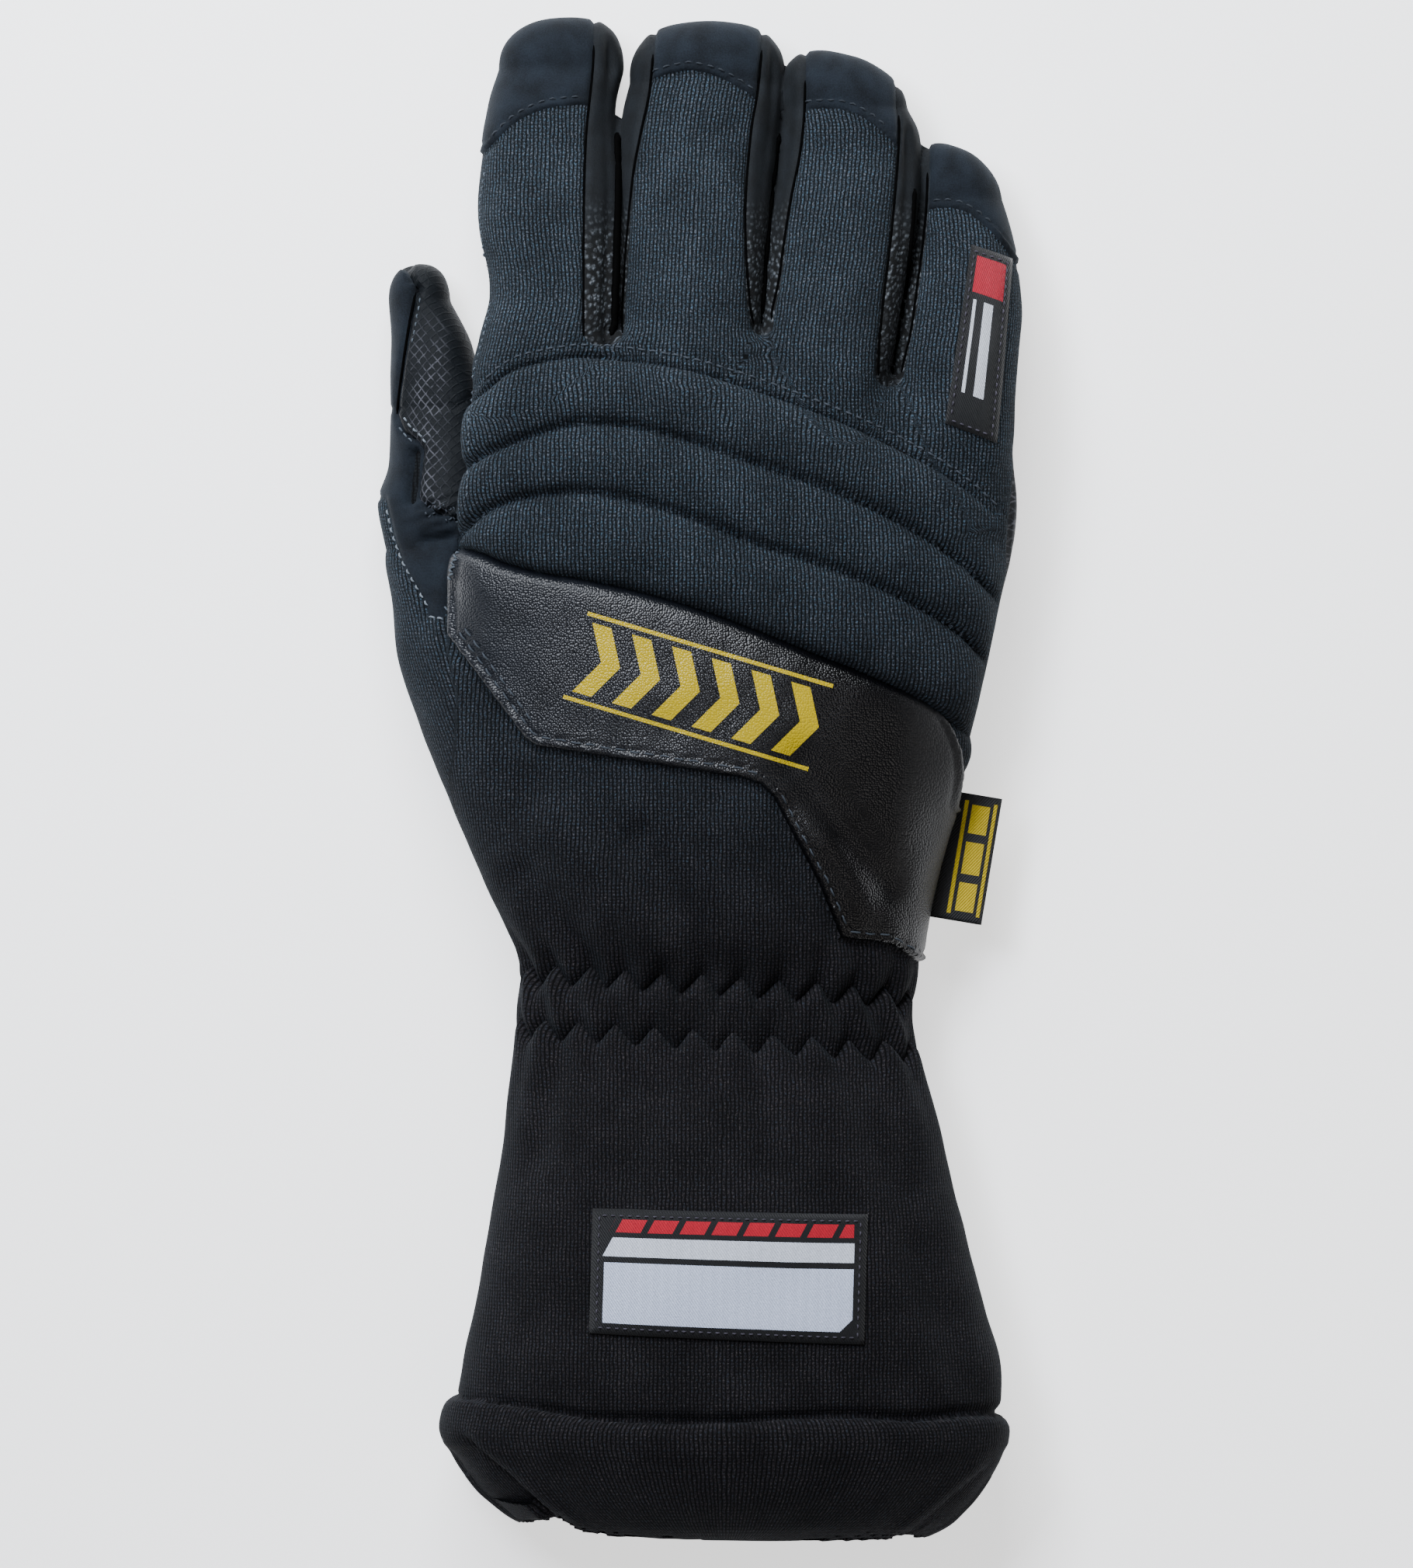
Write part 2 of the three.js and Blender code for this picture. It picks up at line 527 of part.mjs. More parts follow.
// The gathered wrist: a short tube whose outside is pleated, each pleat leaning as it rises.
function gatheredWrist() {
  const sides = pleats * 4;
  const steps = 3;
  const rows = [cuffRows.at(-1), { ...handRows[0], y: wristBand.end }];
  const { start, end, wall: thick, pinch } = wristBand;
  const rings = Array.from({ length: steps + 1 }, (_, i) => {
    const y = THREE.MathUtils.lerp(start + seamGap, end, i / steps);
    const section = { ...sectionAt(rows, y), y };
    const waist = pinch * Math.sin((Math.PI * i) / steps);
    return Array.from({ length: sides }, (_, j) => {
      const ridge = Math.cos((2 * Math.PI * j) / 4);
      return pointOn(section, (2 * Math.PI * (j + i)) / sides, waist + ((1 - ridge) * pleatDepth) / 2);
    });
  });
  const hollow = tube({ rows }, facets.wristHollow, thick, start - 1, end + 1);
  return toSolid(skin(rings)).subtract(hollow);
}

function cuffTube(sink) {
  const inside = Math.max(sink, 0);
  const [start, end] = [cuffRows[0].y - inside, cuffRows.at(-1).y + inside];
  return tube({ rows: cuffRows }, sink > 0 ? facets.cuffHollow : facets.cuff, sink, start, end);
}

// The rolled hem: a fat band whose edge turns in towards the opening.
function rolledHem() {
  const outside = tube({ rows: hemRows }, facets.hem);
  const inside = tube({ rows: hemRows }, facets.hemHollow, hem.wall, hem.end - 1, hem.start + 1);
  return biggest(cut(outside, inside, cuffTube(-seamGap)));
}

function tagPlate() {
  const { root, angle, width, length, thickness, height } = sideTag;
  const plate = new THREE.BoxGeometry(width, length, thickness).translate(width / 2, -length / 2, 0);
  plate.rotateZ(THREE.MathUtils.degToRad(angle)).translate(root[0], root[1], height);
  return cut(toSolid(plate), handOverlay);
}

const glove = new THREE.Group();
function addPiece(name, solid, finish) {
  const { vertProperties, triVerts } = solid.getMesh();
  const geometry = new THREE.BufferGeometry()
    .setAttribute('position', new THREE.BufferAttribute(vertProperties, 3))
    .setIndex(new THREE.BufferAttribute(triVerts, 1));
  const material = new THREE.MeshStandardMaterial({ ...finishes[finish], metalness: 0 });
  const mesh = new THREE.Mesh(geometry, material);
  mesh.name = name;
  glove.add(mesh);
}

const pad = knucklePad();
const patchUpperEdge = ribColumns.map((x) => [x, ribEdgesAt(x).bottom - seamGap * 2]).reverse();
const patchLayer = layer(handForm, [...patchLowerEdge, ...patchUpperEdge], 20, patchThickness);
const padShifts = [[0, 0, 0], [0, -seamGap, 0], [seamGap, 0, 0], [-seamGap, 0, 0], [0, 0, -seamGap]];
const padAround = padShifts.map((shift) => pad.translate(shift));
const leatherPatch = biggest(cut(patchLayer, ...padAround));
const thumbParts = thumbPieces();
const littleForm = (sink) => tube(fingers.little, facets.finger, sink);

addPiece('back_panel', backPanel, 'knit');
addPiece('palm_panel', palmPanel, 'gripLeather');
for (const [name, pair] of Object.entries(sidePanels)) {
  const panel = biggest(handShell.intersect(sideBlock(name, ...pair, -halfGap)));
  addPiece(`side_panel_${pair.join('_')}`, panel, 'suede');
}
for (const [name, cap] of Object.entries(caps)) addPiece(`tip_cap_${name}`, cap, 'suede');
addPiece('thumb_leather', thumbParts.leather, 'gripLeather');
addPiece('thumb_gusset', thumbParts.gusset, 'suede');
addPiece('thumb_base', thumbParts.base, 'knit');
addPiece('knuckle_pad', pad, 'knit');
addPiece('leather_patch', leatherPatch, 'smoothLeather');
addPiece('gathered_wrist', gatheredWrist(), 'knit');
addPiece('cuff', cut(cuffTube(0), cuffTube(wall)), 'knit');
addPiece('rolled_hem', rolledHem(), 'knit');
addPiece('cuff_label', layer(cuffTube, cuffLabel, 30, labelThickness), 'wovenSilver');
addPiece('finger_label', layer(littleForm, fingerLabel, 18, labelThickness), 'wovenBlack');
addPiece('side_tag', tagPlate(), 'wovenBlack');

export default glove;
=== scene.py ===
import functools
import math
import bpy
import numpy as np
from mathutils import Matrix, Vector
from mathutils.bvhtree import BVHTree


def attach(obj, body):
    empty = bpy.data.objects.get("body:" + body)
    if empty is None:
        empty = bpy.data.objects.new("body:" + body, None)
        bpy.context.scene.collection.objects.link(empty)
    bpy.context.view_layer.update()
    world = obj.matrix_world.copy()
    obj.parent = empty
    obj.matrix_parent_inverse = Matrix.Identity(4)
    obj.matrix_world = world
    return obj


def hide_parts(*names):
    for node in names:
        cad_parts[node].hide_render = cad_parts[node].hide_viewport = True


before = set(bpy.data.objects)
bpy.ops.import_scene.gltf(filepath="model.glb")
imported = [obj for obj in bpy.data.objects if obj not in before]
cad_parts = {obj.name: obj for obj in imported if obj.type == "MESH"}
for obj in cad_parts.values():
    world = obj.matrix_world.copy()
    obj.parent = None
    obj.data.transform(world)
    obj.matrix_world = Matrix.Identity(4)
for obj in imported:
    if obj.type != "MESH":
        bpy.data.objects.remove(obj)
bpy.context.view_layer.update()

print("frame loaded")

# Shapes are worked out in millimetres and turned to metres as each mesh is made.
metre = 0.001

# The camera looks straight down from about two metres, as the photograph does.
photoView = {
    "pixels": (1820, 2019), "mmPerPixel": 0.178, "middle": (1.4, -1.4), "plane": 22, "height": 2000,
    "sensor": 36,
}


def setCamera():
    camera = bpy.data.objects.new("photoCamera", bpy.data.cameras.new("photoCamera"))
    bpy.context.scene.collection.objects.link(camera)
    seen = photoView["pixels"][1] * photoView["mmPerPixel"]
    camera.data.sensor_width = photoView["sensor"]
    camera.data.lens = photoView["sensor"] * photoView["height"] / seen
    camera.data.clip_end = 20
    x, y = photoView["middle"]
    camera.location = (x * metre, y * metre, (photoView["plane"] + photoView["height"]) * metre)
    bpy.context.scene.camera = camera


setCamera()

# Section tables: y, left and right edge, floor, belly and crown height, and roll, which lowers the right
# edge. The belly is the height of the widest place.
trunk = {
    "upper": 2.3, "lower": 3.2, "start": -150, "tip": 102, "dome": 6,
    "rows": [
        (-150, -57.2, 68.2, 0, 21, 47, 0),
        (-136, -54.9, 69.2, 0, 21, 48, 0),
        (-121, -51.6, 65.0, 0, 20, 47, 0),
        (-99, -48.0, 59.5, 0, 19, 44, 0),
        (-78, -44.5, 54.0, 0, 18, 40, 0),
        (-66, -43.2, 51.2, 0, 17, 36, 0),
        (-54, -42.4, 48.3, 0, 16, 34.4, 0),
        (-43, -41.4, 49.8, 0, 16, 36, 0),
        (-35, -43.8, 50.8, 0, 17, 38, 0),
        (-14, -51.4, 55.2, 0, 18, 41, 0),
        (7, -57.2, 61.2, 1, 20, 43, 1),
        (29, -56.6, 66.6, 4, 23, 44, 3),
        (50, -55.2, 70.9, 8, 26, 45, 5),
        (66, -53.6, 72.2, 11, 28, 45, 6),
        (78, -52.4, 66.0, 12, 28, 44, 6),
        (88, -49.0, 52.0, 13, 28, 43, 4),
        (96, -40.0, 33.0, 15, 28, 40.5, 2),
    ],
}
hemRoll = {
    "upper": 2.3, "lower": 3.2, "start": -180, "wall": 3.4,
    "rows": [
        (-178, -38.0, 50.0, 1, 17, 32, 0),
        (-175, -40.0, 52.5, 1, 17, 34, 0),
        (-170, -44.0, 59.2, 0, 19, 41, 0),
        (-163, -51.6, 65.0, 0, 20, 46.5, 0),
        (-155, -57.2, 69.3, 0, 21, 50, 0),
        (-149, -59.5, 70.4, 0, 21, 51, 0),
        (-144, -58.6, 69.6, 0, 21, 50, 0),
    ],
    "lip": [  # its front edge on the cuff seen from above: x, y
        (-62, -147.6), (-58.7, -145), (-55, -143.4), (-45, -144.3), (-33.4, -146.1), (-24.6, -147.6),
        (-13, -148.1), (8.2, -148.3), (19.7, -147.4), (34.7, -147), (48, -148), (61.3, -147), (68.5, -147.8),
        (72, -151),
    ],
    "rim": [  # the mouth's edge
        (-60, -166), (-46.7, -170.4), (-41.4, -171.2), (-36.1, -170.2), (-32.1, -169.6), (-27.2, -172.4),
        (-18, -173.6), (-9.5, -174), (20, -174.6), (41.8, -174.9), (45.8, -173.8), (51.6, -174.9),
        (62, -175),
    ],
}
fingers = {
    "index": {
        "upper": 2.5, "lower": 3.0, "start": 70, "tip": 175.2, "dome": 12, "tilt": 0.04, "straight": -35.5,
        "rows": [
            (70, -49.5, -22.0, 16, 31, 41, 0),
            (92, -52.2, -20.4, 14, 30, 43.5, 0),
            (100, -50.6, -19.2, 13, 28, 42.6, 0),
            (110, -48.2, -18.1, 11, 26, 40.6, 0),
            (128, -51.2, -18.0, 7, 21, 35, 0),
            (146, -49.8, -18.9, 3, 15, 28, 0),
            (155, -48.9, -19.3, 1, 12, 25, 0),
            (163, -46.4, -17.7, 0, 10, 22, 0),
        ],
    },
    "middle": {
        "upper": 2.5, "lower": 3.0, "start": 70, "tip": 174.4, "dome": 13, "tilt": 0.03, "straight": -2.2,
        "rows": [
            (70, -17.0, 12.0, 14, 31, 41, 0),
            (92, -18.2, 12.4, 13, 29, 43.5, 0),
            (102, -18.4, 13.7, 12, 28, 42.6, 0),
            (110, -18.5, 14.3, 11, 26, 41, 0),
            (128, -18.4, 15.8, 8, 20, 35, 0),
            (146, -19.1, 17.9, 3, 14, 28, 0),
            (154, -18.0, 18.7, 1, 12, 25, 0),
            (160, -16.4, 19.4, 0, 10, 23, 0),
        ],
    },
    "ring": {
        "upper": 2.5, "lower": 3.0, "start": 66, "tip": 166.6, "dome": 13, "tilt": -0.24, "straight": 30,
        "rows": [
            (66, 17.0, 41.0, 12, 28, 39.5, 0),
            (88, 15.2, 42.6, 11, 27, 41.5, 0),
            (98, 13.4, 44.3, 11, 26, 40.6, 0),
            (108, 13.9, 46.0, 10, 24, 38, 0),
            (126, 15.3, 49.3, 5, 18, 32, 0),
            (142, 17.2, 50.8, 1, 12, 26, 0),
            (149, 17.9, 50.4, 0, 11, 24, 0),
            (154, 18.4, 48.0, 0, 10, 22, 0),
        ],
    },
    "little": {
        "upper": 2.4, "lower": 3.0, "start": 58, "tip": 145.4, "dome": 12, "tilt": -0.38, "straight": 59.5,
        "rows": [
            (58, 46.0, 68.0, 9, 24, 34, 0),
            (76, 45.0, 71.6, 8, 23, 36.5, 0),
            (92, 43.4, 72.4, 6, 21, 35.4, 0),
            (107, 45.4, 74.0, 3, 17, 31, 0),
            (121, 48.3, 72.6, 1, 12, 26, 0),
            (133, 49.2, 69.6, 0, 10, 21, 0),
        ],
    },
}
thumb = {
    "upper": 2.3, "lower": 3.2, "start": -46, "tip": 118.8, "dome": 9, "straight": -58, "clothDown": 8,
    "rows": [
        (-46, -30.0, -8.0, 3, 12, 20, 0),
        (-36, -37.5, -11.0, 2, 13, 25, 0),
        (-22, -47.4, -16.0, 1, 14, 29.5, 0),
        (0, -57.9, -22.0, 0, 14, 32, 0),
        (22, -67.5, -30.0, 0, 14, 32, 0),
        (43, -70.0, -39.0, 0, 13, 29, 0),
        (63, -74.5, -44.8, 0, 12, 26, 0),
        (72, -72.0, -46.4, 0, 11.6, 24.5, 0),
        (82, -71.5, -48.0, 0, 11, 23, 0),
        (99, -71.3, -52.4, 0, 10, 21, 0),
        (110, -71.9, -57.8, 0, 9, 18, 0),
    ],
}
restFlat = 1.08  # the lower half is pressed flat where it rests
fingerBlend = 5  # how softly a finger grows out of the hand
skin = {"step": 0.9, "liningStep": 2.0, "wall": 2.4}
limits = {  # the y where each of these stops
    "thumb": -25, "sideSeam": -48, "palm": -34, "hem": -140, "hollow": -158, "mouth": (-164, -150),
    "liningHem": -148, "lining": -168,
}


def readRows(rows, y):
    # a smooth curve through the rows of a table, read at every y
    rows = np.asarray(rows, float)
    at = np.clip(y, rows[0, 0], rows[-1, 0])
    i = np.clip(np.searchsorted(rows[:, 0], at, side="right") - 1, 0, len(rows) - 2)
    a, b = rows[i], rows[i + 1]
    before, after = rows[np.maximum(i - 1, 0)], rows[np.minimum(i + 2, len(rows) - 1)]
    span = b[:, :1] - a[:, :1]
    t = (at[:, None] - a[:, :1]) / span
    slopeA = (b - before) / (b[:, :1] - before[:, :1]) * span
    slopeB = (after - a) / (after[:, :1] - a[:, :1]) * span
    rise = 3 * t ** 2 - 2 * t ** 3
    return (1 - rise) * a + (t ** 3 - 2 * t ** 2 + t) * slopeA + rise * b + (t ** 3 - t ** 2) * slopeB


def curveThrough(pairs, at):
    # smooth y over x, through pairs in rising x
    return readRows([(a, b) for a, b in pairs], np.ravel(at))[:, 1].reshape(np.shape(at))


def sectionAt(tube, y):
    found = readRows(tube["rows"], np.ravel(y))
    return [found[:, i].reshape(np.shape(y)) for i in range(1, 7)]


def placeIn(tube, x, y, z):
    # where a point lies in its section: across and up as shares, then in millimetres, and the floor there
    left, right, floor, belly, crown, roll = sectionAt(tube, y)
    across = (2 * x - left - right) / (right - left)
    rise = z - belly + roll * across
    share = np.where(rise >= 0, rise / (crown - belly), rise / ((belly - floor) * restFlat))
    return across, share, across * (right - left) / 2, rise, floor


def sectionField(tube, x, y, z):
    across, share, aside, rise, floor = placeIn(tube, x, y, z)
    power = np.where(share >= 0, tube["upper"], tube["lower"])
    size = (np.abs(across) ** power + np.abs(share) ** power) ** (1 / power)
    reach = aside ** 2 + rise ** 2
    if "dome" in tube:
        ahead = np.maximum(y - tube.get("tilt", 0) * aside - tube["tip"] + tube["dome"], 0)
        size = (size ** 2.5 + (ahead / tube["dome"]) ** 2.5) ** 0.4
        reach = reach + ahead ** 2
    away = np.sqrt(reach) * (1 - 1 / np.maximum(size, 0.05))
    return np.maximum(np.maximum(away, floor - z), tube["start"] - y)


def tubeField(tube, x, y, z, margin=10, far=30.0):
    # roughly the distance outside a tube, negative inside; only worked out near it
    rows = np.array(tube["rows"])
    left, right = rows[:, 1].min() - margin, rows[:, 2].max() + margin
    start, end = tube["start"] - margin, tube.get("tip", rows[-1, 0]) + margin
    values = np.full(np.broadcast_shapes(np.shape(x), np.shape(y), np.shape(z)), far)
    if np.ndim(x) == 1:
        near = (x > left) & (x < right) & (y > start) & (y < end)
        values[near] = sectionField(tube, x[near], y[near], z[near])
    elif y.max() > start and y.min() < end:
        near = (x[:, 0, 0] > left) & (x[:, 0, 0] < right)
        values[near] = sectionField(tube, x[near], y, z)
    return values


def softMin(a, b, blend):
    near = np.maximum(blend - np.abs(a - b), 0) / blend
    return np.minimum(a, b) - near ** 2 * blend / 4


def handField(x, y, z):
    apart = [tubeField(tube, x, y, z) for tube in fingers.values()]
    return softMin(tubeField(trunk, x, y, z), np.minimum.reduce(apart), fingerBlend)


def hemField(x, y, z):
    # the rolled hem, round at its front lip and at the mouth
    body = tubeField(hemRoll, x, y, z)
    body = -softMin(-body, curveThrough(hemRoll["lip"], x) + 1.6 - y, 2.2)
    return -softMin(-body, y - curveThrough(hemRoll["rim"], x), 4.0)


def thumbBlend(y):
    # the knit base of the thumb is one with the hand, its leather part only lies against it
    return np.interp(y, (30, 58), (10, 0.8))


def bodyField(x, y, z):
    return softMin(handField(x, y, z), tubeField(thumb, x, y, z), thumbBlend(y))


def gloveField(x, y, z):
    return softMin(bodyField(x, y, z), hemField(x, y, z), 0.6)


def hemHollow(x, y, z):
    # the space inside the mouth, down to where the lining takes over
    inner = tubeField(hemRoll, x, y, z) + hemRoll["wall"]
    return np.maximum(inner, y - limits["hollow"])


def outerField(x, y, z):
    solid, hollow = gloveField(x, y, z), hemHollow(x, y, z)
    return -softMin(-solid, hollow, 2.4)


def surfaceNet(field, low, high, step):
    # one vertex in each cell that the surface passes through, one square for each edge that it crosses
    axes = [np.arange(low[i], high[i] + step, step) for i in range(3)]
    x, y, z = axes[0][:, None, None], axes[1][None, :, None], axes[2][None, None, :]
    values = np.empty([len(axis) for axis in axes], np.float32)
    for first in range(0, len(axes[1]), 24):  # in slabs, to save memory
        part = slice(first, first + 24)
        values[:, part] = field(x, y[:, part], z)
    solid = values < 0
    corners = [(a, b, c) for a in (0, 1) for b in (0, 1) for c in (0, 1)]
    shape = [n - 1 for n in values.shape]
    inside = np.zeros(shape, np.int8)
    for a, b, c in corners:
        inside += solid[a:a + shape[0], b:b + shape[1], c:c + shape[2]]
    cell = np.argwhere((inside > 0) & (inside < 8))
    number = np.full(shape, -1)
    number[tuple(cell.T)] = np.arange(len(cell))
    at = np.stack(
        [values[cell[:, 0] + a, cell[:, 1] + b, cell[:, 2] + c] for a, b, c in corners], 1).astype(float)
    total, count = np.zeros((len(at), 3)), np.zeros(len(at))
    for i, p in enumerate(corners):
        for j, q in enumerate(corners):
            if j > i and sum(abs(m - n) for m, n in zip(p, q)) == 1:
                cross = (at[:, i] < 0) != (at[:, j] < 0)
                t = np.where(cross, at[:, i] / np.where(cross, at[:, i] - at[:, j], 1), 0)
                total += np.where(cross[:, None], np.array(p) + t[:, None] * (np.array(q) - np.array(p)), 0)
                count += cross
    points = (cell + total / count[:, None]) * step + np.array([axis[0] for axis in axes])
    squares = []
    for axis in range(3):
        one, two = [(1, 2), (2, 0), (0, 1)][axis]
        ahead = np.moveaxis(solid, axis, 0)
        a, b = np.moveaxis(ahead[:-1], 0, axis), np.moveaxis(ahead[1:], 0, axis)
        for start, flip in ((a & ~b, False), (b & ~a, True)):
            place = np.argwhere(start)
            place = place[(place[:, one] > 0) & (place[:, two] > 0)]
            place = place[(place[:, one] < shape[one]) & (place[:, two] < shape[two])]
            ring = []
            for da, db in ((0, 0), (-1, 0), (-1, -1), (0, -1)):
                near = place.copy()
                near[:, one] += da
                near[:, two] += db
                ring.append(number[near[:, 0], near[:, 1], near[:, 2]])
            square = np.stack(ring if not flip else ring[::-1], 1)
            squares.append(square[(square >= 0).all(1)])
    return points, np.concatenate(squares)


def settle(field, points, rounds):
    # moves points onto the surface, and gives the outward direction at each
    reach = 0.2
    for turn in range(rounds + 1):
        here = field(*points.T)
        slope = np.stack([field(*(points + reach * np.eye(3)[i]).T) - here for i in range(3)], 1) / reach
        steep = np.maximum((slope ** 2).sum(1, keepdims=True), 0.05)
        if turn < rounds:
            points = points - np.clip(here[:, None] / steep, -0.6, 0.6) * slope
    return points, slope / np.sqrt(steep)


# the box that is searched for the surface reaches a little past the glove
points, squares = surfaceNet(outerField, (-77, -179, -2.5), (77, 178, 54), skin["step"])
points, outward = settle(outerField, points, 1)
print("outer surface", len(points), "points")

# Seams on the finger backs, each row one place along the finger: y, x.
backSeams = {
    "indexRight": [(60, -26.2), (118, -26.6), (146, -26.2), (164, -24.6), (180, -24.4)],
    "middleLeft": [
        (60, -17.8), (107, -17.7), (118, -17.2), (138, -15.4), (148, -13.6), (158, -11.6), (180, -10.0)],
    "middleRight": [(60, 12.4), (102, 12.2), (108, 11.2), (128, 10.2), (148, 11.6), (158, 13.2), (180, 15.2)],
    "ringLeft": [(60, 16.0), (105, 16.2), (113, 17.8), (123, 19.2), (133, 20.8), (143, 22.8), (154, 23.9),
        (180, 24.0)],
    "ringRight": [(60, 40.4), (97, 40.6), (108, 41.6), (128, 44.0), (148, 45.6), (158, 45.2), (180, 45.2)],
    "littleLeft": [(50, 45.2), (91, 45.8), (102, 48.1), (113, 49.7), (123, 51.1), (133, 52.0), (150, 52.3)],
}
slots = {  # the side panels between the fingers: their seams, their lower end and the cleft along each
    "side_panel_index_middle": {
        "seams": ("indexRight", "middleLeft"), "fingers": ("index", "middle"), "end": 98.2,
        "cleft": [(98, -20.6), (102, -19.9), (130, -19.2), (150, -19.2)],
    },
    "side_panel_middle_ring": {
        "seams": ("middleRight", "ringLeft"), "fingers": ("middle", "ring"), "end": 101.4,
        "cleft": [(98, 13.6), (103, 13.8), (116, 14.8), (130, 15.9), (150, 18.3)],
    },
    "side_panel_ring_little": {
        "seams": ("ringRight", "littleLeft"), "fingers": ("ring", "little"), "end": 89.6,
        "cleft": [(88, 43.4), (92, 43.9), (109, 46.4), (123, 48.1), (137, 49.2)],
    },
}
slotDrop = 5  # how far a side panel reaches below the lower of its two fingers' widest places
capEdges = {  # each row: x, y of the cap's folded edge
    "tip_cap_index": [(-52, 141.5), (-49, 144), (-43, 149.5), (-36.8, 152.8), (-30, 154), (-22, 154.2)],
    "tip_cap_middle": [
        (-18, 157), (-11.6, 160), (-6, 161.7), (-1.4, 162.1), (6, 159.8), (13, 155.4), (18, 152)],
    "tip_cap_ring": [
        (18, 152.6), (24.4, 153.4), (30, 153.6), (35, 152.6), (40, 149.6), (44.5, 145.6), (50, 140)],
    "tip_cap_little": [
        (48, 129.6), (52, 130.4), (57, 130.7), (61, 129.6), (66, 126), (70.8, 120.8), (75, 115.5)],
}
ribLines = [  # the padded ribs over the knuckles: x, then y of the four sewn lines from top to bottom
    (-56, 82.0, 68.0, 53.6, 52.4),
    (-49.7, 87.1, 72.5, 59.5, 50.8),
    (-43.6, 91.9, 75.4, 62.6, 48.3),
    (-35.1, 94.4, 78.4, 64.2, 46.2),
    (-26.3, 95.5, 80.2, 64.7, 44.8),
    (-13.4, 94.4, 79.1, 62.4, 42.0),
    (-0.5, 91.9, 75.6, 58.3, 38.3),
    (12.5, 88.0, 71.0, 53.2, 33.6),
    (25.5, 83.2, 66.7, 49.0, 28.4),
    (38.3, 78.1, 61.5, 44.3, 23.4),
    (51.3, 71.6, 54.4, 38.0, 17.2),
    (60.0, 65.9, 48.2, 32.0, 10.8),
    (67.6, 59.5, 41.0, 24.0, 4.0),
    (74, 53.0, 35.0, 18.0, -2.0),
]
patchEdge = [  # lower edge of the leather patch, the seam on the thumb side first
    (-54.6, 56.0), (-55.4, 50.0), (-56.6, 32.4), (-39.6, 9.0), (-37.0, 7.4), (-23.1, 5.2), (9.0, 0.2),
    (13.6, -1.4), (16.6, -4.4), (27.2, -24.2), (32.4, -36.8), (42.7, -37.7), (50.7, -42.7), (58, -47),
    (74, -44), (74, -7.6), (57.4, -5.8), (58.4, 1.0), (58.2, 7.0), (56.8, 12.0), (54, 17), (54, 40), (0, 70),
    (-40, 70),
]
thumbSeam = [  # between the smooth strip and the gripping leather
    (-72.0, 125.0), (-67.8, 117.4), (-65.2, 112.6), (-66.4, 106.5), (-68.0, 97.0), (-69.4, 88.0),
    (-69.9, 83.0), (-68.6, 79.4), (-65.2, 77.4), (-63.6, 75.4), (-64.2, 70), (-64.6, 64), (-60, 60.5),
    (-53.0, 58.5), (-48.0, 56.0), (-40, 40), (-40, -40), (-90, -40), (-90, 125),
]
gussetSeam = [  # the V below the thumb
    (-90.0, 68.0), (-72.9, 64.3), (-70.5, 54.0), (-67.3, 47.6), (-64.0, 42.5), (-61.6, 37.0), (-58.4, 36.4),
    (-57.6, 40.0), (-56.4, 47.5), (-54.4, 53.0), (-40, 60.0), (-40, -40.0), (-90.0, -40.0),
]
palmRise = {"y": 58, "reach": 11, "height": 4.5}  # where the palm's leather comes up over the right edge
gathers = {  # each sewn row as its y and slope; heights in millimetres; shifts and lean are parts of a pleat
    "top": (-47.7, -0.0635), "bottom": (-59.5, -0.055), "zigzag": 2.15, "pleats": 24, "shift": 0.39,
    "lowShift": 0.13, "lean": 0.5, "puff": 1.9, "dip": 2.9, "lowDip": 2.3, "rise": 1.5,
}


def insidePolygon(outline, x, y):
    # signed distance to an outline seen from above, positive inside
    outline = np.asarray(outline, float)
    best = np.full(np.shape(x), 1e9)
    inside = np.zeros(np.shape(x), bool)
    for a, b in zip(outline, np.roll(outline, -1, 0)):
        edge = b - a
        t = np.clip(((x - a[0]) * edge[0] + (y - a[1]) * edge[1]) / (edge ** 2).sum(), 0, 1)
        best = np.minimum(best, np.hypot(x - a[0] - t * edge[0], y - a[1] - t * edge[1]))
        if a[1] != b[1]:
            spans = (a[1] > y) != (b[1] > y)
            inside ^= spans & (x < a[0] + (y - a[1]) / (b[1] - a[1]) * edge[0])
    return np.where(inside, best, -best)


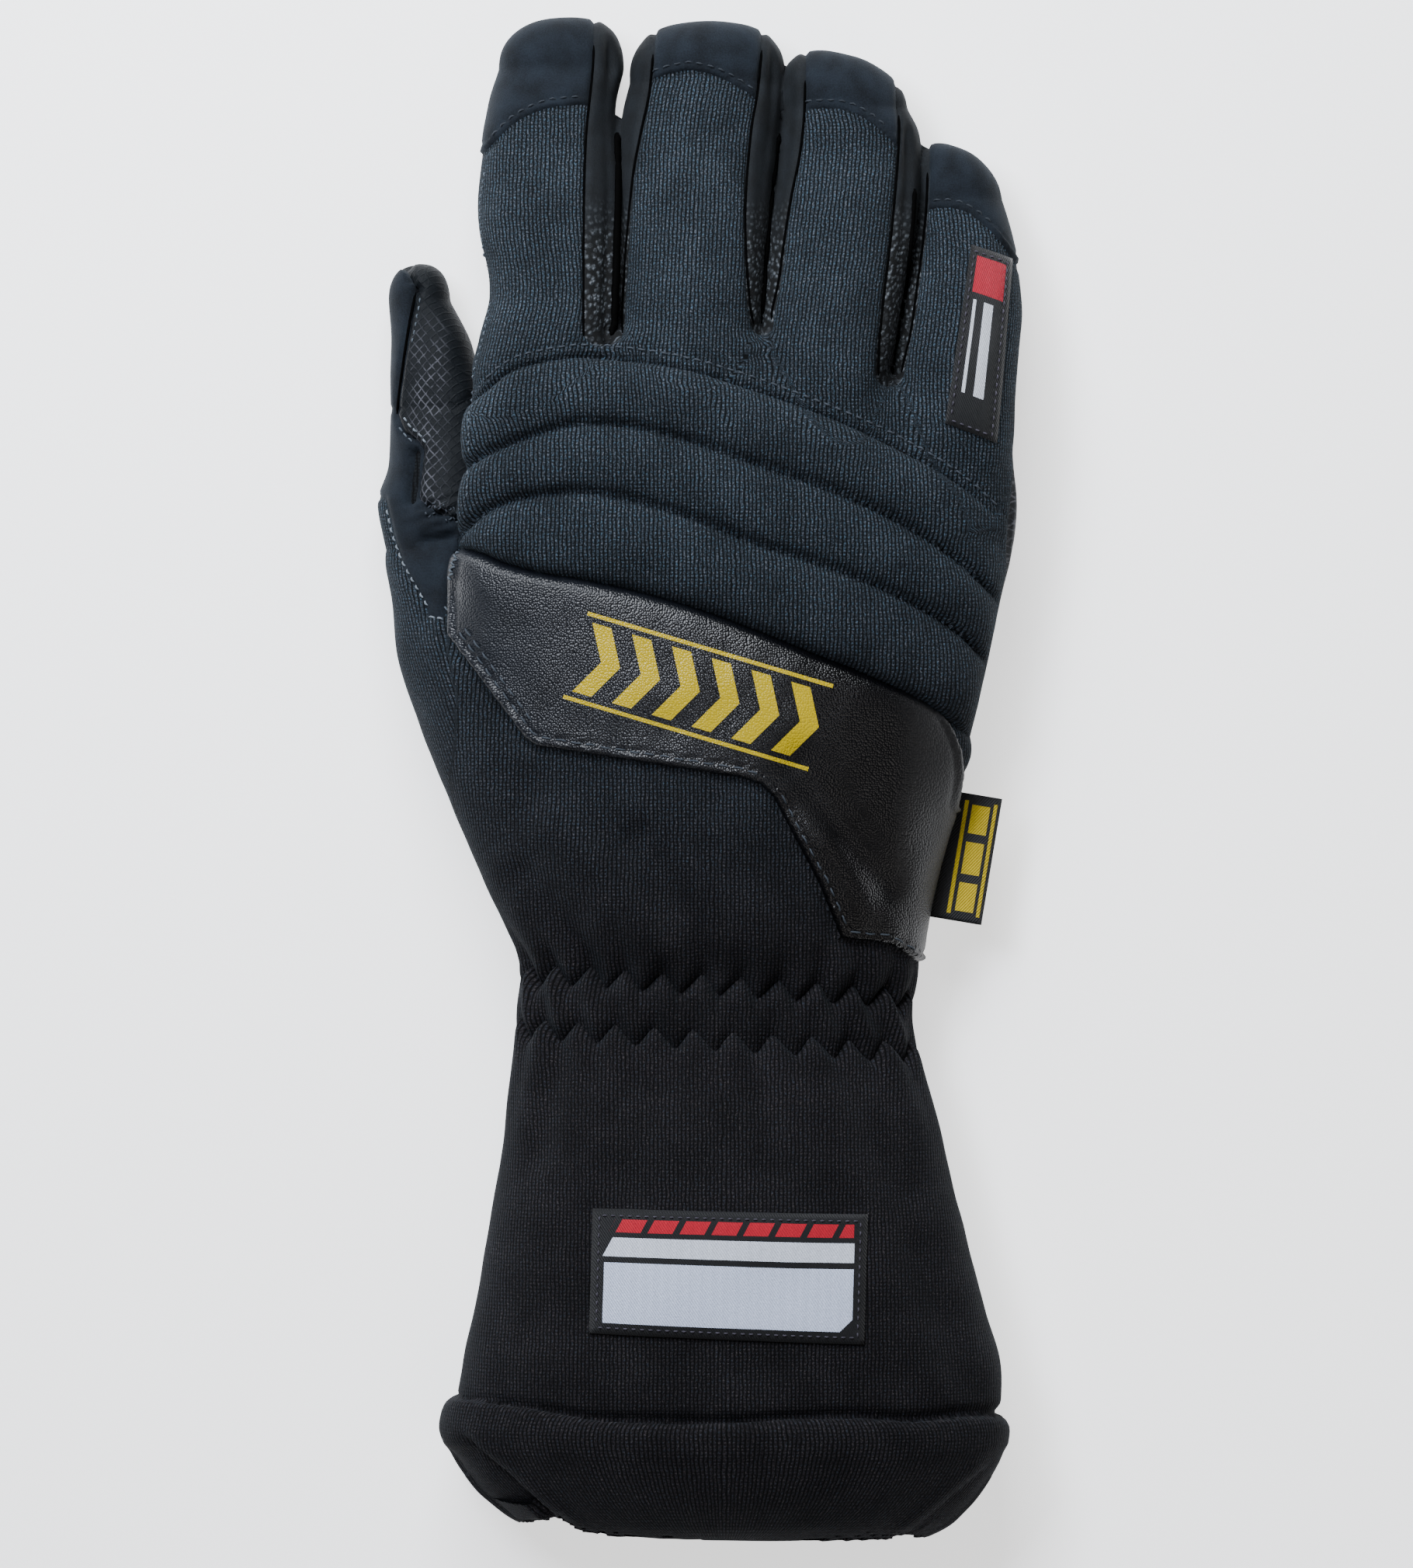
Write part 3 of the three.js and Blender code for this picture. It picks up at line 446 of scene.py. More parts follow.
def arcLength(tube, x, y, z):
    # how far round the section a point lies, in millimetres from the crown, positive to the right
    across, share = placeIn(tube, x, y, z)[:2]
    power = np.where(share >= 0, tube["upper"], tube["lower"]) / 2
    turn = np.arctan2(np.sign(share) * np.abs(share) ** power, np.sign(across) * np.abs(across) ** power)
    turn = np.mod(np.pi / 2 - turn + np.pi, 2 * np.pi) - np.pi
    parts, gap = 240, 4.0  # how finely the table of lengths is made, round the tube and along it
    turns = np.linspace(-np.pi, np.pi, parts + 1)
    ys = np.arange(tube["rows"][0][0], tube["rows"][-1][0] + gap, gap)
    left, right, floor, belly, crown = sectionAt(tube, ys[:, None])[:5]
    angle = np.pi / 2 - turns[None, :]
    up = np.sin(angle) >= 0
    power = 2 / np.where(up, tube["upper"], tube["lower"])
    px = (right - left) / 2 * np.sign(np.cos(angle)) * np.abs(np.cos(angle)) ** power
    height = np.where(up, crown - belly, belly - floor) * np.sign(np.sin(angle))
    pz = height * np.minimum(np.abs(np.sin(angle)) ** power * np.where(up, 1, restFlat), 1)
    lengths = np.cumsum(np.hypot(np.diff(px, axis=1), np.diff(pz, axis=1)), 1)
    lengths = np.concatenate([np.zeros((len(ys), 1)), lengths], 1)
    lengths -= lengths[:, parts // 2, None]
    row = np.clip((y - ys[0]) / gap, 0, len(ys) - 1.001)
    column = np.clip((turn + np.pi) / (2 * np.pi) * parts, 0, parts - 0.001)
    i, j = row.astype(int), column.astype(int)
    s, t = row - i, column - j
    top = lengths[i, j] * (1 - t) + lengths[i, j + 1] * t
    low = lengths[i + 1, j] * (1 - t) + lengths[i + 1, j + 1] * t
    whole = lengths[:, -1] - lengths[:, 0]
    return top * (1 - s) + low * s, whole[i] * (1 - s) + whole[i + 1] * s


def wave(phase, sharp=0.94):
    # zigzag of the gathered rows, its points a little worn
    return np.arcsin(sharp * np.cos(2 * np.pi * phase)) / np.arcsin(sharp)


# Everything that tells the panels apart, as one column for each point.
x, y, z = points.T
tubes = {"trunk": trunk, **fingers, "thumb": thumb}
distances = {name: tubeField(tube, x, y, z) for name, tube in tubes.items()}
names = list(tubes)
apart = np.stack([distances[name] for name in names])
owner = apart.argmin(0)
onThumb = owner == names.index("thumb")
# between two tubes the height of the widest place is blended
weights = np.exp(-(apart - apart.min(0)) / 1.6)
weights /= weights.sum(0)
around = np.zeros(len(x))
bellyLine = np.zeros(len(x))
for i, name in enumerate(names):
    tube = tubes[name]
    mine = owner == i
    rise = placeIn(tube, x, y, z)[3]
    line = z - tube["clothDown"] if name == "thumb" else rise
    bellyLine += weights[i] * line
    arc = arcLength(tube, x[mine], y[mine], z[mine])[0]
    left, right = sectionAt(tube, y[mine])[:2]
    around[mine] = arc + (tube.get("straight") or (left + right) / 2)
# the pleats are counted round the wrist
trunkArc, perimeter = arcLength(trunk, x, np.clip(y, -66, -40), z)
phase = trunkArc / perimeter * gathers["pleats"] + gathers["shift"]

risen = palmRise["height"] * np.exp(-((y - palmRise["y"]) / palmRise["reach"]) ** 2)
column = {"side": bellyLine - risen * np.clip((x - 40) / 15, 0, 1)}
column["thumb"] = handField(x, y, z) - distances["thumb"]
column["hem"] = np.minimum(handField(x, y, z), 40) - hemField(x, y, z)
column["hem"] = np.where(y > limits["hem"], -40, column["hem"])
column["palmEnd"] = y - limits["palm"]
column["inside"] = np.where(y < limits["mouth"][1], hemRoll["wall"] / 2 + tubeField(hemRoll, x, y, z), 40)
for row, line, extra in (("topRow", gathers["top"], 0), ("lowRow", gathers["bottom"], gathers["lowShift"])):
    column[row] = y - line[0] - line[1] * x - gathers["zigzag"] * wave(phase + extra)
for slot, made in slots.items():
    seamA, seamB = (curveThrough(backSeams[name], y) for name in made["seams"])
    middle, half = (seamA + seamB) / 2, (seamB - seamA) / 2
    rounded = np.minimum(half, 3.6)
    below = np.maximum(made["end"] + rounded - y, 0)
    inSlot = half - np.hypot(x - middle, below * half / rounded)
    low = [sectionAt(fingers[name], y)[3] for name in made["fingers"]]
    lowLine = np.minimum(*low) - slotDrop
    inSlot = np.where(y < made["end"] - 6, -20, inSlot)
    column[slot] = inSlot
    column[slot + "Low"] = np.where(inSlot > -1.5, z - lowLine, 20)
for cap, edge in capEdges.items():
    line = y - curveThrough(edge, x)
    mine = owner == names.index(cap.rsplit("_", 1)[1])
    column[cap] = np.where(mine, line, -20)
column["gussetLine"] = np.where(onThumb, -insidePolygon(gussetSeam, x, y), -20)
column["stripLine"] = np.where(onThumb, insidePolygon(thumbSeam, x, y), 20)
ribs = readRows(ribLines, x)[:, 1:]
column["padTop"] = ribs[:, 0] - y
column["padBottom"] = y - ribs[:, 3]
column["patch"] = insidePolygon(patchEdge, x, y)
print("panel columns ready")


def cutAlong(table, faces, values, slack=0.14):
    # splits triangles where the values change sign, and interpolates every column at the new points
    values = np.where(np.abs(values) < slack, 0, values)
    sign = np.sign(values)[faces]
    crossing = (sign.min(1) < 0) & (sign.max(1) > 0)
    kept, hit, sign = faces[~crossing], faces[crossing], sign[crossing]
    if not len(hit):
        return table, faces
    lonely = np.where(
        (sign == 0).any(1), (sign == 0).argmax(1), (sign * sign.sum(1, keepdims=True) < 0).argmax(1))
    turned = (np.arange(3)[None] + lonely[:, None]) % 3
    hit = np.take_along_axis(hit, turned, 1)
    onPoint = values[hit[:, 0]] == 0
    pairs = np.concatenate([hit[onPoint][:, [1, 2]], hit[~onPoint][:, [0, 1]], hit[~onPoint][:, [0, 2]]])
    ordered = np.sort(pairs, 1)
    unique, inverse = np.unique(ordered, axis=0, return_inverse=True)
    inverse = np.ravel(inverse)
    a, b = values[unique[:, 0]], values[unique[:, 1]]
    t = (a / (a - b))[:, None]
    fresh = table[unique[:, 0]] * (1 - t) + table[unique[:, 1]] * t
    number = inverse + len(table)
    n, m = onPoint.sum(), (~onPoint).sum()
    middle, first, second = number[:n], number[n:n + m], number[n + m:]
    point, split = hit[onPoint], hit[~onPoint]
    parts = [
        kept,
        np.stack([point[:, 0], point[:, 1], middle], 1), np.stack([point[:, 0], middle, point[:, 2]], 1),
        np.stack([split[:, 0], first, second], 1), np.stack([first, split[:, 1], split[:, 2]], 1),
        np.stack([first, split[:, 2], second], 1),
    ]
    return np.concatenate([table, fresh]), np.concatenate(parts)


columns = ["x", "y", "z", "nx", "ny", "nz", "around", "phase", *column, "rib0", "rib1", "rib2", "rib3"]
table = np.column_stack([points, outward, around, phase, *column.values(), ribs])
faces = np.concatenate([squares[:, [0, 1, 2]], squares[:, [0, 2, 3]]])


def get(name):
    return table[:, columns.index(name)]


def upperOnly(values):
    # a line that is only sewn on the back of the hand
    return np.where(get("side") > -1.5, values, 20)


for line in ["palmEnd", "hem", "inside", "topRow", "lowRow"]:
    table, faces = cutAlong(table, faces, get(line))
table, faces = cutAlong(table, faces, np.where(get("y") > limits["thumb"], get("thumb"), -20))
table, faces = cutAlong(table, faces, np.where(get("y") > limits["sideSeam"], get("side"), 20))
for line in ["gussetLine", "stripLine"]:
    table, faces = cutAlong(table, faces, upperOnly(get(line)))
for slot in slots:
    table, faces = cutAlong(table, faces, np.where(get(slot + "Low") > -1.5, get(slot), -20))
    table, faces = cutAlong(table, faces, np.where(get(slot) > -1.5, get(slot + "Low"), 20))
for line in [*capEdges, "padTop", "padBottom", "patch"]:
    table, faces = cutAlong(table, faces, upperOnly(get(line)))
print("seams cut", len(table), "points", len(faces), "triangles")


def labelTriangles():
    # which panel each triangle belongs to, from the middle of its columns
    at = {name: table[:, i][faces].mean(1) for i, name in enumerate(columns)}
    label = np.full(len(faces), "back_panel", dtype="U32")
    back = at["side"] > 0
    label[~back] = "palm_panel"
    label[back & (at["patch"] > 0) & (at["padBottom"] < 0)] = "leather_patch"
    label[back & (at["padTop"] > 0) & (at["padBottom"] > 0)] = "knuckle_pad"
    for cap in capEdges:
        label[back & (at[cap] > 0)] = cap
    for slot in slots:
        label[(at[slot] > 0) & (at[slot + "Low"] > 0) & (at["side"] > -slotDrop * 2)] = slot
    onThumb = (at["thumb"] > 0) & (at["y"] > limits["thumb"])
    cloth = onThumb & back & (at["stripLine"] > 0)
    label[onThumb & ~(back & (at["gussetLine"] < 0))] = "thumb_leather"
    label[cloth & (at["gussetLine"] > 0)] = "thumb_gusset"
    label[onThumb & back & (at["gussetLine"] < 0)] = "back_panel"
    label[(at["topRow"] < 0) | ~back & (at["palmEnd"] < 0)] = "gathered_wrist"
    label[at["lowRow"] < 0] = "cuff"
    label[at["hem"] > 0] = "rolled_hem"
    # deep in the mouth the lining takes over
    deep, mouth = limits["mouth"]
    label[(at["y"] > deep) & (at["inside"] < 0) & (at["y"] < mouth)] = "spare"
    return label


label = labelTriangles()
for name in np.unique(label):
    print("  panel", name, (label == name).sum())

# Soft folds, each a line from one end to the other seen from above: x1, y1, x2, y2, width, depth.
folds = [
    (-10.0, -63.0, -16.0, -92.0, 5, 1.3),  # down from the gathers
    (13.0, -63.0, 17.0, -88.0, 5, 1.1),
    (-31.0, -63.0, -37.0, -86.0, 4, 1.2),
    (36.0, -63.0, 45.0, -94.0, 5, 1.6),
    (-14.0, -14.0, 2.0, -44.0, 4.5, 1.7),  # over the heel of the hand; a negative depth is a ridge
    (-40.0, -22.0, -24.0, -45.0, 4, 1.8),
    (-33.0, -12.0, -9.0, -38.0, 6.5, -2.3),
    (7.0, -12.0, 15.0, -40.0, 5, -1.5),
    (19.0, -8.0, 34.0, -38.0, 4, 1.3),
    (22.0, 2.0, 42.0, -24.0, 5, 1.9),  # dent in the leather patch and the ridge beside it
    (29.0, -15.0, 37.0, -27.0, 4.5, -0.6),
    (-20.0, -132.0, 44.0, -136.0, 6, 0.8),  # above the hem
    (50.0, -108.0, 62.0, -140.0, 5, 1.2),
]
# One layer of the hem tucked under the next: its line, the drop at the right of it and the drop's reach.
shelves = [
    (-52.6, -150.4, -31.0, -170.0, 2.8, 9.0),
    (44.6, -174.8, 63.6, -158.2, 1.0, 8.0),
]
palmFolds = [  # where the hand bends, on the palm side
    (-46.0, 70.0, 30.0, 60.0, 3, 1.2),
    (-30.0, 52.0, 62.0, 40.0, 3, 1.2),
    (-34.0, 60.0, -16.0, -20.0, 4, 1.4),
    (-50.0, 128.0, -20.0, 128.0, 2.4, 1.0),
    (-17.0, 130.0, 16.0, 130.0, 2.4, 1.0),
    (17.0, 126.0, 48.0, 126.0, 2.4, 1.0),
    (49.0, 112.0, 73.0, 112.0, 2.4, 1.0),
]


def ridge(distance, height, width):
    return height * np.exp(-(distance / width) ** 2)


def valley(distance, depth, width):
    return -ridge(distance, depth, width)


def foldDepth(lines, x, y):
    total = np.zeros(len(x))
    for x1, y1, x2, y2, width, depth in lines:
        dx, dy = x2 - x1, y2 - y1
        t = np.clip(((x - x1) * dx + (y - y1) * dy) / (dx * dx + dy * dy), 0, 1)
        total += valley(np.hypot(x - x1 - t * dx, y - y1 - t * dy), depth, width)
    return total


def step(values, low, high):
    t = np.clip((values - low) / (high - low), 0, 1)
    return t * t * (3 - 2 * t)


def shelfDepth(x, y):
    total = np.zeros(len(x))
    for x1, y1, x2, y2, drop, reach in shelves:
        length = math.hypot(x2 - x1, y2 - y1)
        dx, dy = (x2 - x1) / length, (y2 - y1) / length
        along, off = (x - x1) * dx + (y - y1) * dy, (x - x1) * dy - (y - y1) * dx
        ends = step(along, -4, 3) * step(length - along, -5, 1)
        fall = drop * step(off, -0.5, 0.8) * np.exp(-np.maximum(off, 0) / reach)
        total += ends * (ridge(off + 2, 0.5, 1.6) - fall)
    return total


def ripple(x, y, z, size, seed):
    # a gentle uneven surface: a few crossed waves with fixed directions
    rng = np.random.default_rng(seed)
    total = np.zeros(len(x))
    for _ in range(7):
        way = rng.normal(size=3)
        way /= np.linalg.norm(way)
        turn = (x * way[0] + y * way[1] + z * way[2]) * 2 * np.pi / (size * rng.uniform(0.7, 1.5))
        total += np.sin(turn + rng.uniform(0, 6.3))
    return total / 7


thumbFolds = [
    (-64.9, 112.4, -64.9, 112.2, 0.9, 2.2),
    (-67.6, 120.0, -66.4, 115.0, 1.0, 1.0),
    (-65.8, 74.6, -66.6, 63.6, 1.1, 3.6),
    (-63.4, 54.4, -57.2, 55.4, 1.2, 2.4),
]
puffs = {"uneven": 0.45, "unevenFine": 0.2, "rib": 3.6, "patch": 2.6, "patchStep": 1.2, "capStep": 0.4}
creases = {  # depth and width of the lines where a seam, a row of stitches or a fold holds the cloth down
    "side": (0.9, 1.1), "slot": (0.7, 0.55), "slotEnd": (0.6, 1.0), "cleft": (4.2, 1.8),
    "capRow": (0.35, 0.5), "capFoot": (0.5, 0.8), "rib": (1.3, 0.9), "padRow": (0.45, 0.6),
    "patchRow": (0.45, 0.5), "patchFoot": (0.6, 1.0), "gusset": (0.7, 0.9), "strip": (1.2, 0.7),
    "thumb": (0.6, 1.4), "hemFoot": (1.3, 1.5), "hemLip": (0.7, 1.6),
}
beads = {  # height and width of the edges that stand up beside them
    "slot": (0.15, 0.9), "cap": (0.3, 0.7), "patch": (0.45, 0.8), "strip": (0.5, 1.0),
}


def crease(line, distance):
    return valley(distance, *creases[line])


def bead(line, distance):
    return ridge(distance, *beads[line])


def relief():
    # how far each point moves out along its normal, from its place among the seams
    x, y, z, side = get("x"), get("y"), get("z"), get("side")
    back = step(side, -0.5, 2.0)
    height = puffs["uneven"] * ripple(x, y, z, 26, 3) + puffs["unevenFine"] * ripple(x, y, z, 11, 5)
    height += back * foldDepth(folds, x, y) + step(-side, 0, 3) * foldDepth(palmFolds, x, y)
    height *= step(y, -174, -168)
    height += back * shelfDepth(x, y) * step(y - curveThrough(hemRoll["rim"], x), 0.3, 3.5)
    height += step(y, -46, -38) * crease("side", side)

    inAnySlot = np.full(len(x), -20.0)
    for slot, made in slots.items():
        s, low = get(slot), get(slot + "Low")
        height += step(low, -1, 1) * (crease("slot", s) + bead("slot", s - 1.5))
        height += np.where(s > 0, crease("slotEnd", low), 0)
        # the two panels dive into a cleft between the fingers
        dive = step(s, 0.2, 1.2) * step(low, 0.4, 5) * step(get("nz"), 0.45, 0.85)
        height += dive * crease("cleft", x - curveThrough(made["cleft"], y))
        inAnySlot = np.maximum(inAnySlot, s)

    # the caps' folded edges, each with a row of stitches
    for cap in capEdges:
        s = get(cap)
        thick = puffs["capStep"] * step(s, -0.1, 0.5) * (1 - 0.8 * step(s, 4, 11))
        edge = bead("cap", s - 0.9) + crease("capRow", s - 1.7) + crease("capFoot", s + 0.5)
        height += back * step(-inAnySlot, 0, 1.2) * (thick + edge)

    # the padded ribs, held down along four sewn lines
    edges = [get(f"rib{i}") for i in range(4)]
    shown = np.where(x > 0, step(side, 2.0, 13.0), step(side, -0.5, 6.0))
    shown *= 1 - step(get("thumb"), -1.2, 0.2) * step(y, 18, 28)
    for top, bottom in zip(edges, edges[1:]):
        t = np.clip((y - bottom) / np.maximum(top - bottom, 0.5), 0, 1)
        tall = np.clip((top - bottom) / 13, 0, 1)
        height += shown * puffs["rib"] * tall * np.sin(np.pi * t ** 0.92) ** 0.55
    for line in edges:
        height += shown * crease("rib", y - line)
    height += back * step(-inAnySlot, 0.5, 2) * crease("padRow", y - edges[0] - 2.8)

    # the leather patch, a folded edge on top of the knit
    s, below = get("patch"), -get("padBottom")
    edge = puffs["patchStep"] * step(s, -0.15, 0.55) + bead("patch", s - 1.0)
    edge += crease("patchRow", s - 2.0) + crease("patchFoot", s + 0.8)
    under = np.maximum(below, 0)
    swell = puffs["patch"] * (1 - np.exp(-under / 5)) * np.exp(-under / 26)
    height += back * step(below, -0.2, 0.6) * (edge + swell)

    # the thumb: its seams, the slot and the fold below it, and leather bunched at its foot
    onThumb = step(get("thumb"), -0.4, 0.4) * step(y, 20, 34)
    height += onThumb * crease("thumb", get("thumb"))
    strip = get("stripLine")
    seams = crease("gusset", get("gussetLine")) + crease("strip", strip)
    seams += bead("strip", strip + 1.5) * step(108 - y, 0, 4)
    bunch = np.exp(-((x + 59.5) / 5.5) ** 2 - ((y - 61) / 4.0) ** 2) * (0.7 + 0.8 * np.sin(y * 2.3 - x * 0.7))
    height += back * onThumb * (seams + foldDepth(thumbFolds, x, y) + bunch)

    # the gathered wrist: each sewn row lies at the foot of a slope that is long above it and short below it
    phase, up, low = get("phase"), get("topRow"), get("lowRow")
    above, first, last, below = [np.maximum(value, 0) for value in (up, -up, low, -low)]
    puff, rise = gathers["puff"], gathers["rise"]
    shown = 0.2 + 0.8 * step(side, 0, 9)
    slope = np.where(up > 0, np.exp(-above / 5) * step(y, -20, -36), np.exp(-first / rise))
    lowSlope = np.where(low > 0, np.exp(-last / 3.2), np.exp(-below / rise))
    height -= shown * (gathers["dip"] * slope + gathers["lowDip"] * lowSlope)
    # pleats lean from row to row, and fan out above and below them
    band = np.clip(low / np.maximum(low - up, 0.1), 0, 1)
    pleat = 0.4 + 0.5 * np.cos(2 * np.pi * (phase - gathers["lean"] * (1 - band)))
    pleat *= (1 - np.exp(-first / rise)) * (1 - np.exp(-last / 5))
    fan = (0.5 - 0.5 * np.cos(2 * np.pi * phase)) * step(y, -16, -40)
    fan = np.where(up > 0, np.exp(-above / 6) * (1 - np.exp(-above / 2.5)) * fan, 0)
    lowFan = 0.4 + 0.4 * np.cos(2 * np.pi * (phase + gathers["lowShift"]))
    lowFan = np.where(low < 0, (1 - np.exp(-below / rise)) * np.exp(-below / 11) * lowFan, 0)
    height += puff * (fan + shown * (pleat + lowFan))

    # the hem's lip sits in a groove on the cuff
    groove = crease("hemFoot", get("hem") + 0.8) - crease("hemLip", get("hem") - 2.0)
    return height + groove * step(-y, 140, 144)


height = relief()
placed = table[:, :3] + table[:, 3:6] * height[:, None]
placed[:, 2] = np.maximum(placed[:, 2], 0.0)
print("relief done", round(float(height.min()), 2), round(float(height.max()), 2))


def makeMesh(name, points, faces, uv=None):
    mesh = bpy.data.meshes.new(name)
    faces = faces if isinstance(faces, list) else faces.tolist()
    mesh.from_pydata((np.asarray(points) * metre).tolist(), [], faces)
    if uv is not None:
        layer = mesh.uv_layers.new(name="clothMm")
        corner = np.empty(len(mesh.loops), int)
        mesh.loops.foreach_get("vertex_index", corner)
        layer.data.foreach_set("uv", np.asarray(uv, float)[corner].ravel())
    mesh.polygons.foreach_set("use_smooth", [True] * len(mesh.polygons))
    mesh.validate()
    made = bpy.data.objects.new(name, mesh)
    bpy.context.scene.collection.objects.link(made)
    return made


def finishPiece(piece, material, slot, nodes=()):
    piece.data.materials.append(material)
    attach(piece, "root")
    if nodes:
        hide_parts(*nodes)


def hexColor(code):
    parts = [int(code[i:i + 2], 16) / 255 for i in (1, 3, 5)]
    return (*[c / 12.92 if c <= 0.04045 else ((c + 0.055) / 1.055) ** 2.4 for c in parts], 1)


modeNames = {
    "Math": "operation", "MixRGB": "blend_type", "TexNoise": "noise_dimensions",
    "TexVoronoi": "voronoi_dimensions", "Mapping": "vector_type", "UVMap": "uv_map",
}


def fillInputs(node, values):
    # an input is set to a value, or linked to a socket or to the first output of another node
    for name, value in values.items():
        socket = node.inputs[name if isinstance(name, int) else name.replace("_", " ")]
        if isinstance(value, bpy.types.Node):
            value = value.outputs[0]
        if isinstance(value, bpy.types.NodeSocket):
            node.id_data.links.new(value, socket)
        else:
            socket.default_value = value


def addNode(tree, kind, mode=None, *values, **named):
    # adds a node with its mode, and its inputs in their own order or by name
    made = tree.nodes.new("ShaderNode" + kind)
    if mode:
        setattr(made, modeNames[kind], mode)
    fillInputs(made, {**dict(enumerate(values)), **named})
    return made


def startMaterial(name):
    material = bpy.data.materials.new(name)
    material.use_nodes = True
    return material, functools.partial(addNode, material.node_tree)


def setLook(material, **values):
    fillInputs(material.node_tree.nodes["Principled BSDF"], values)
    return material


knitYarn = {
    "ribMm": 0.92, "courseMm": 0.8, "swayPerMm": 0.3, "fleckPerMm": 2.3, "huePerMm": 1.2, "patchPerMm": 0.09,
}


def ribKnit(name, litFingerTones, shadedCuffTones):
    # aramid knit, ribbed along the hand: fine wales with dark grooves and flecks of heathered yarn;
    # the tones are groove, crest, blue fleck and grey fleck; the cloth is one, and its darkening from the
    # fingers to the cuff is painted shade
    material, add = startMaterial(name)
    cloth = add("UVMap", "clothMm")
    split = add("SeparateXYZ", Vector=cloth)
    wobble = add("TexNoise", "2D", Vector=cloth, Scale=knitYarn["swayPerMm"], Detail=2.0)
    sway = add("Math", "MULTIPLY_ADD", wobble, 0.6, split)
    turns = add("Math", "MULTIPLY", sway, 2 * math.pi / knitYarn["ribMm"])
    swing = add("Math", "SINE", turns)
    wale = add("MapRange", Value=swing, From_Min=-0.9, From_Max=0.3)
    # the loops of each wale lie in pairs that lean left and right
    lean = add("Math", "ABSOLUTE", swing)
    course = add("Math", "MULTIPLY_ADD", split.outputs[1], 2 * math.pi / knitYarn["courseMm"], lean)
    loop = add("Math", "SINE", course)
    loop = add("MapRange", Value=loop, From_Min=-1.0, From_Max=0.6, To_Min=0.45)
    weave = add("Math", "MULTIPLY", wale, loop)
    place = add("SeparateXYZ", Vector=add("TexCoord").outputs["Object"])
    # painted light and shade: the tones run from the darker cuff tones to the lighter, bluer finger tones
    # along the hand
    along = add("MapRange", Value=place.outputs[1], From_Min=-0.04, From_Max=0.05)
    shades = [map(hexColor, pair) for pair in zip(shadedCuffTones, litFingerTones)]
    groove, crest, blue, grey = [add("MixRGB", "MIX", along, *pair) for pair in shades]
    base = add("MixRGB", "MIX", weave, groove, crest)
    flecks = add("TexNoise", "2D", Vector=cloth, Scale=knitYarn["fleckPerMm"], Detail=3.0, Roughness=0.75)
    hue = add("TexNoise", "2D", Vector=cloth, Scale=knitYarn["huePerMm"], Detail=1.0)
    hue = add("MapRange", Value=hue, From_Min=0.42, From_Max=0.58)
    tint = add("MixRGB", "MIX", hue, blue, grey)
    for shade, low, high, most in ((tint, 0.52, 0.66, 0.9), (groove, 0.46, 0.34, 0.6)):
        fleck = add("MapRange", Value=flecks, From_Min=low, From_Max=high, To_Max=most)
        fleck = add("Math", "MULTIPLY", fleck, wale)
        base = add("MixRGB", "MIX", fleck, base, shade)
    patches = add("TexNoise", "2D", Vector=cloth, Scale=knitYarn["patchPerMm"], Detail=3.0)
    tone = add("MapRange", Value=patches, From_Min=0.3, From_Max=0.7, To_Min=0.78, To_Max=1.18)
    base = add("MixRGB", "MULTIPLY", 1.0, base, tone)
    grain = add("Math", "MULTIPLY_ADD", flecks, 0.6, weave)
    bump = add("Bump", Strength=0.9, Distance=0.0002, Height=grain)
    return setLook(
        material, Base_Color=base, Normal=bump, Roughness=0.95, Specular_IOR_Level=0.08, Sheen_Weight=0.04,
        Sheen_Roughness=0.5, Sheen_Tint=hexColor("#9fb0bd"))


suedeNap = {"napPerMm": 2.6, "streakPerMm": 0.16, "dotMm": 1.4, "dotGlintColor": "#4a4f54", "dotFade": 7}


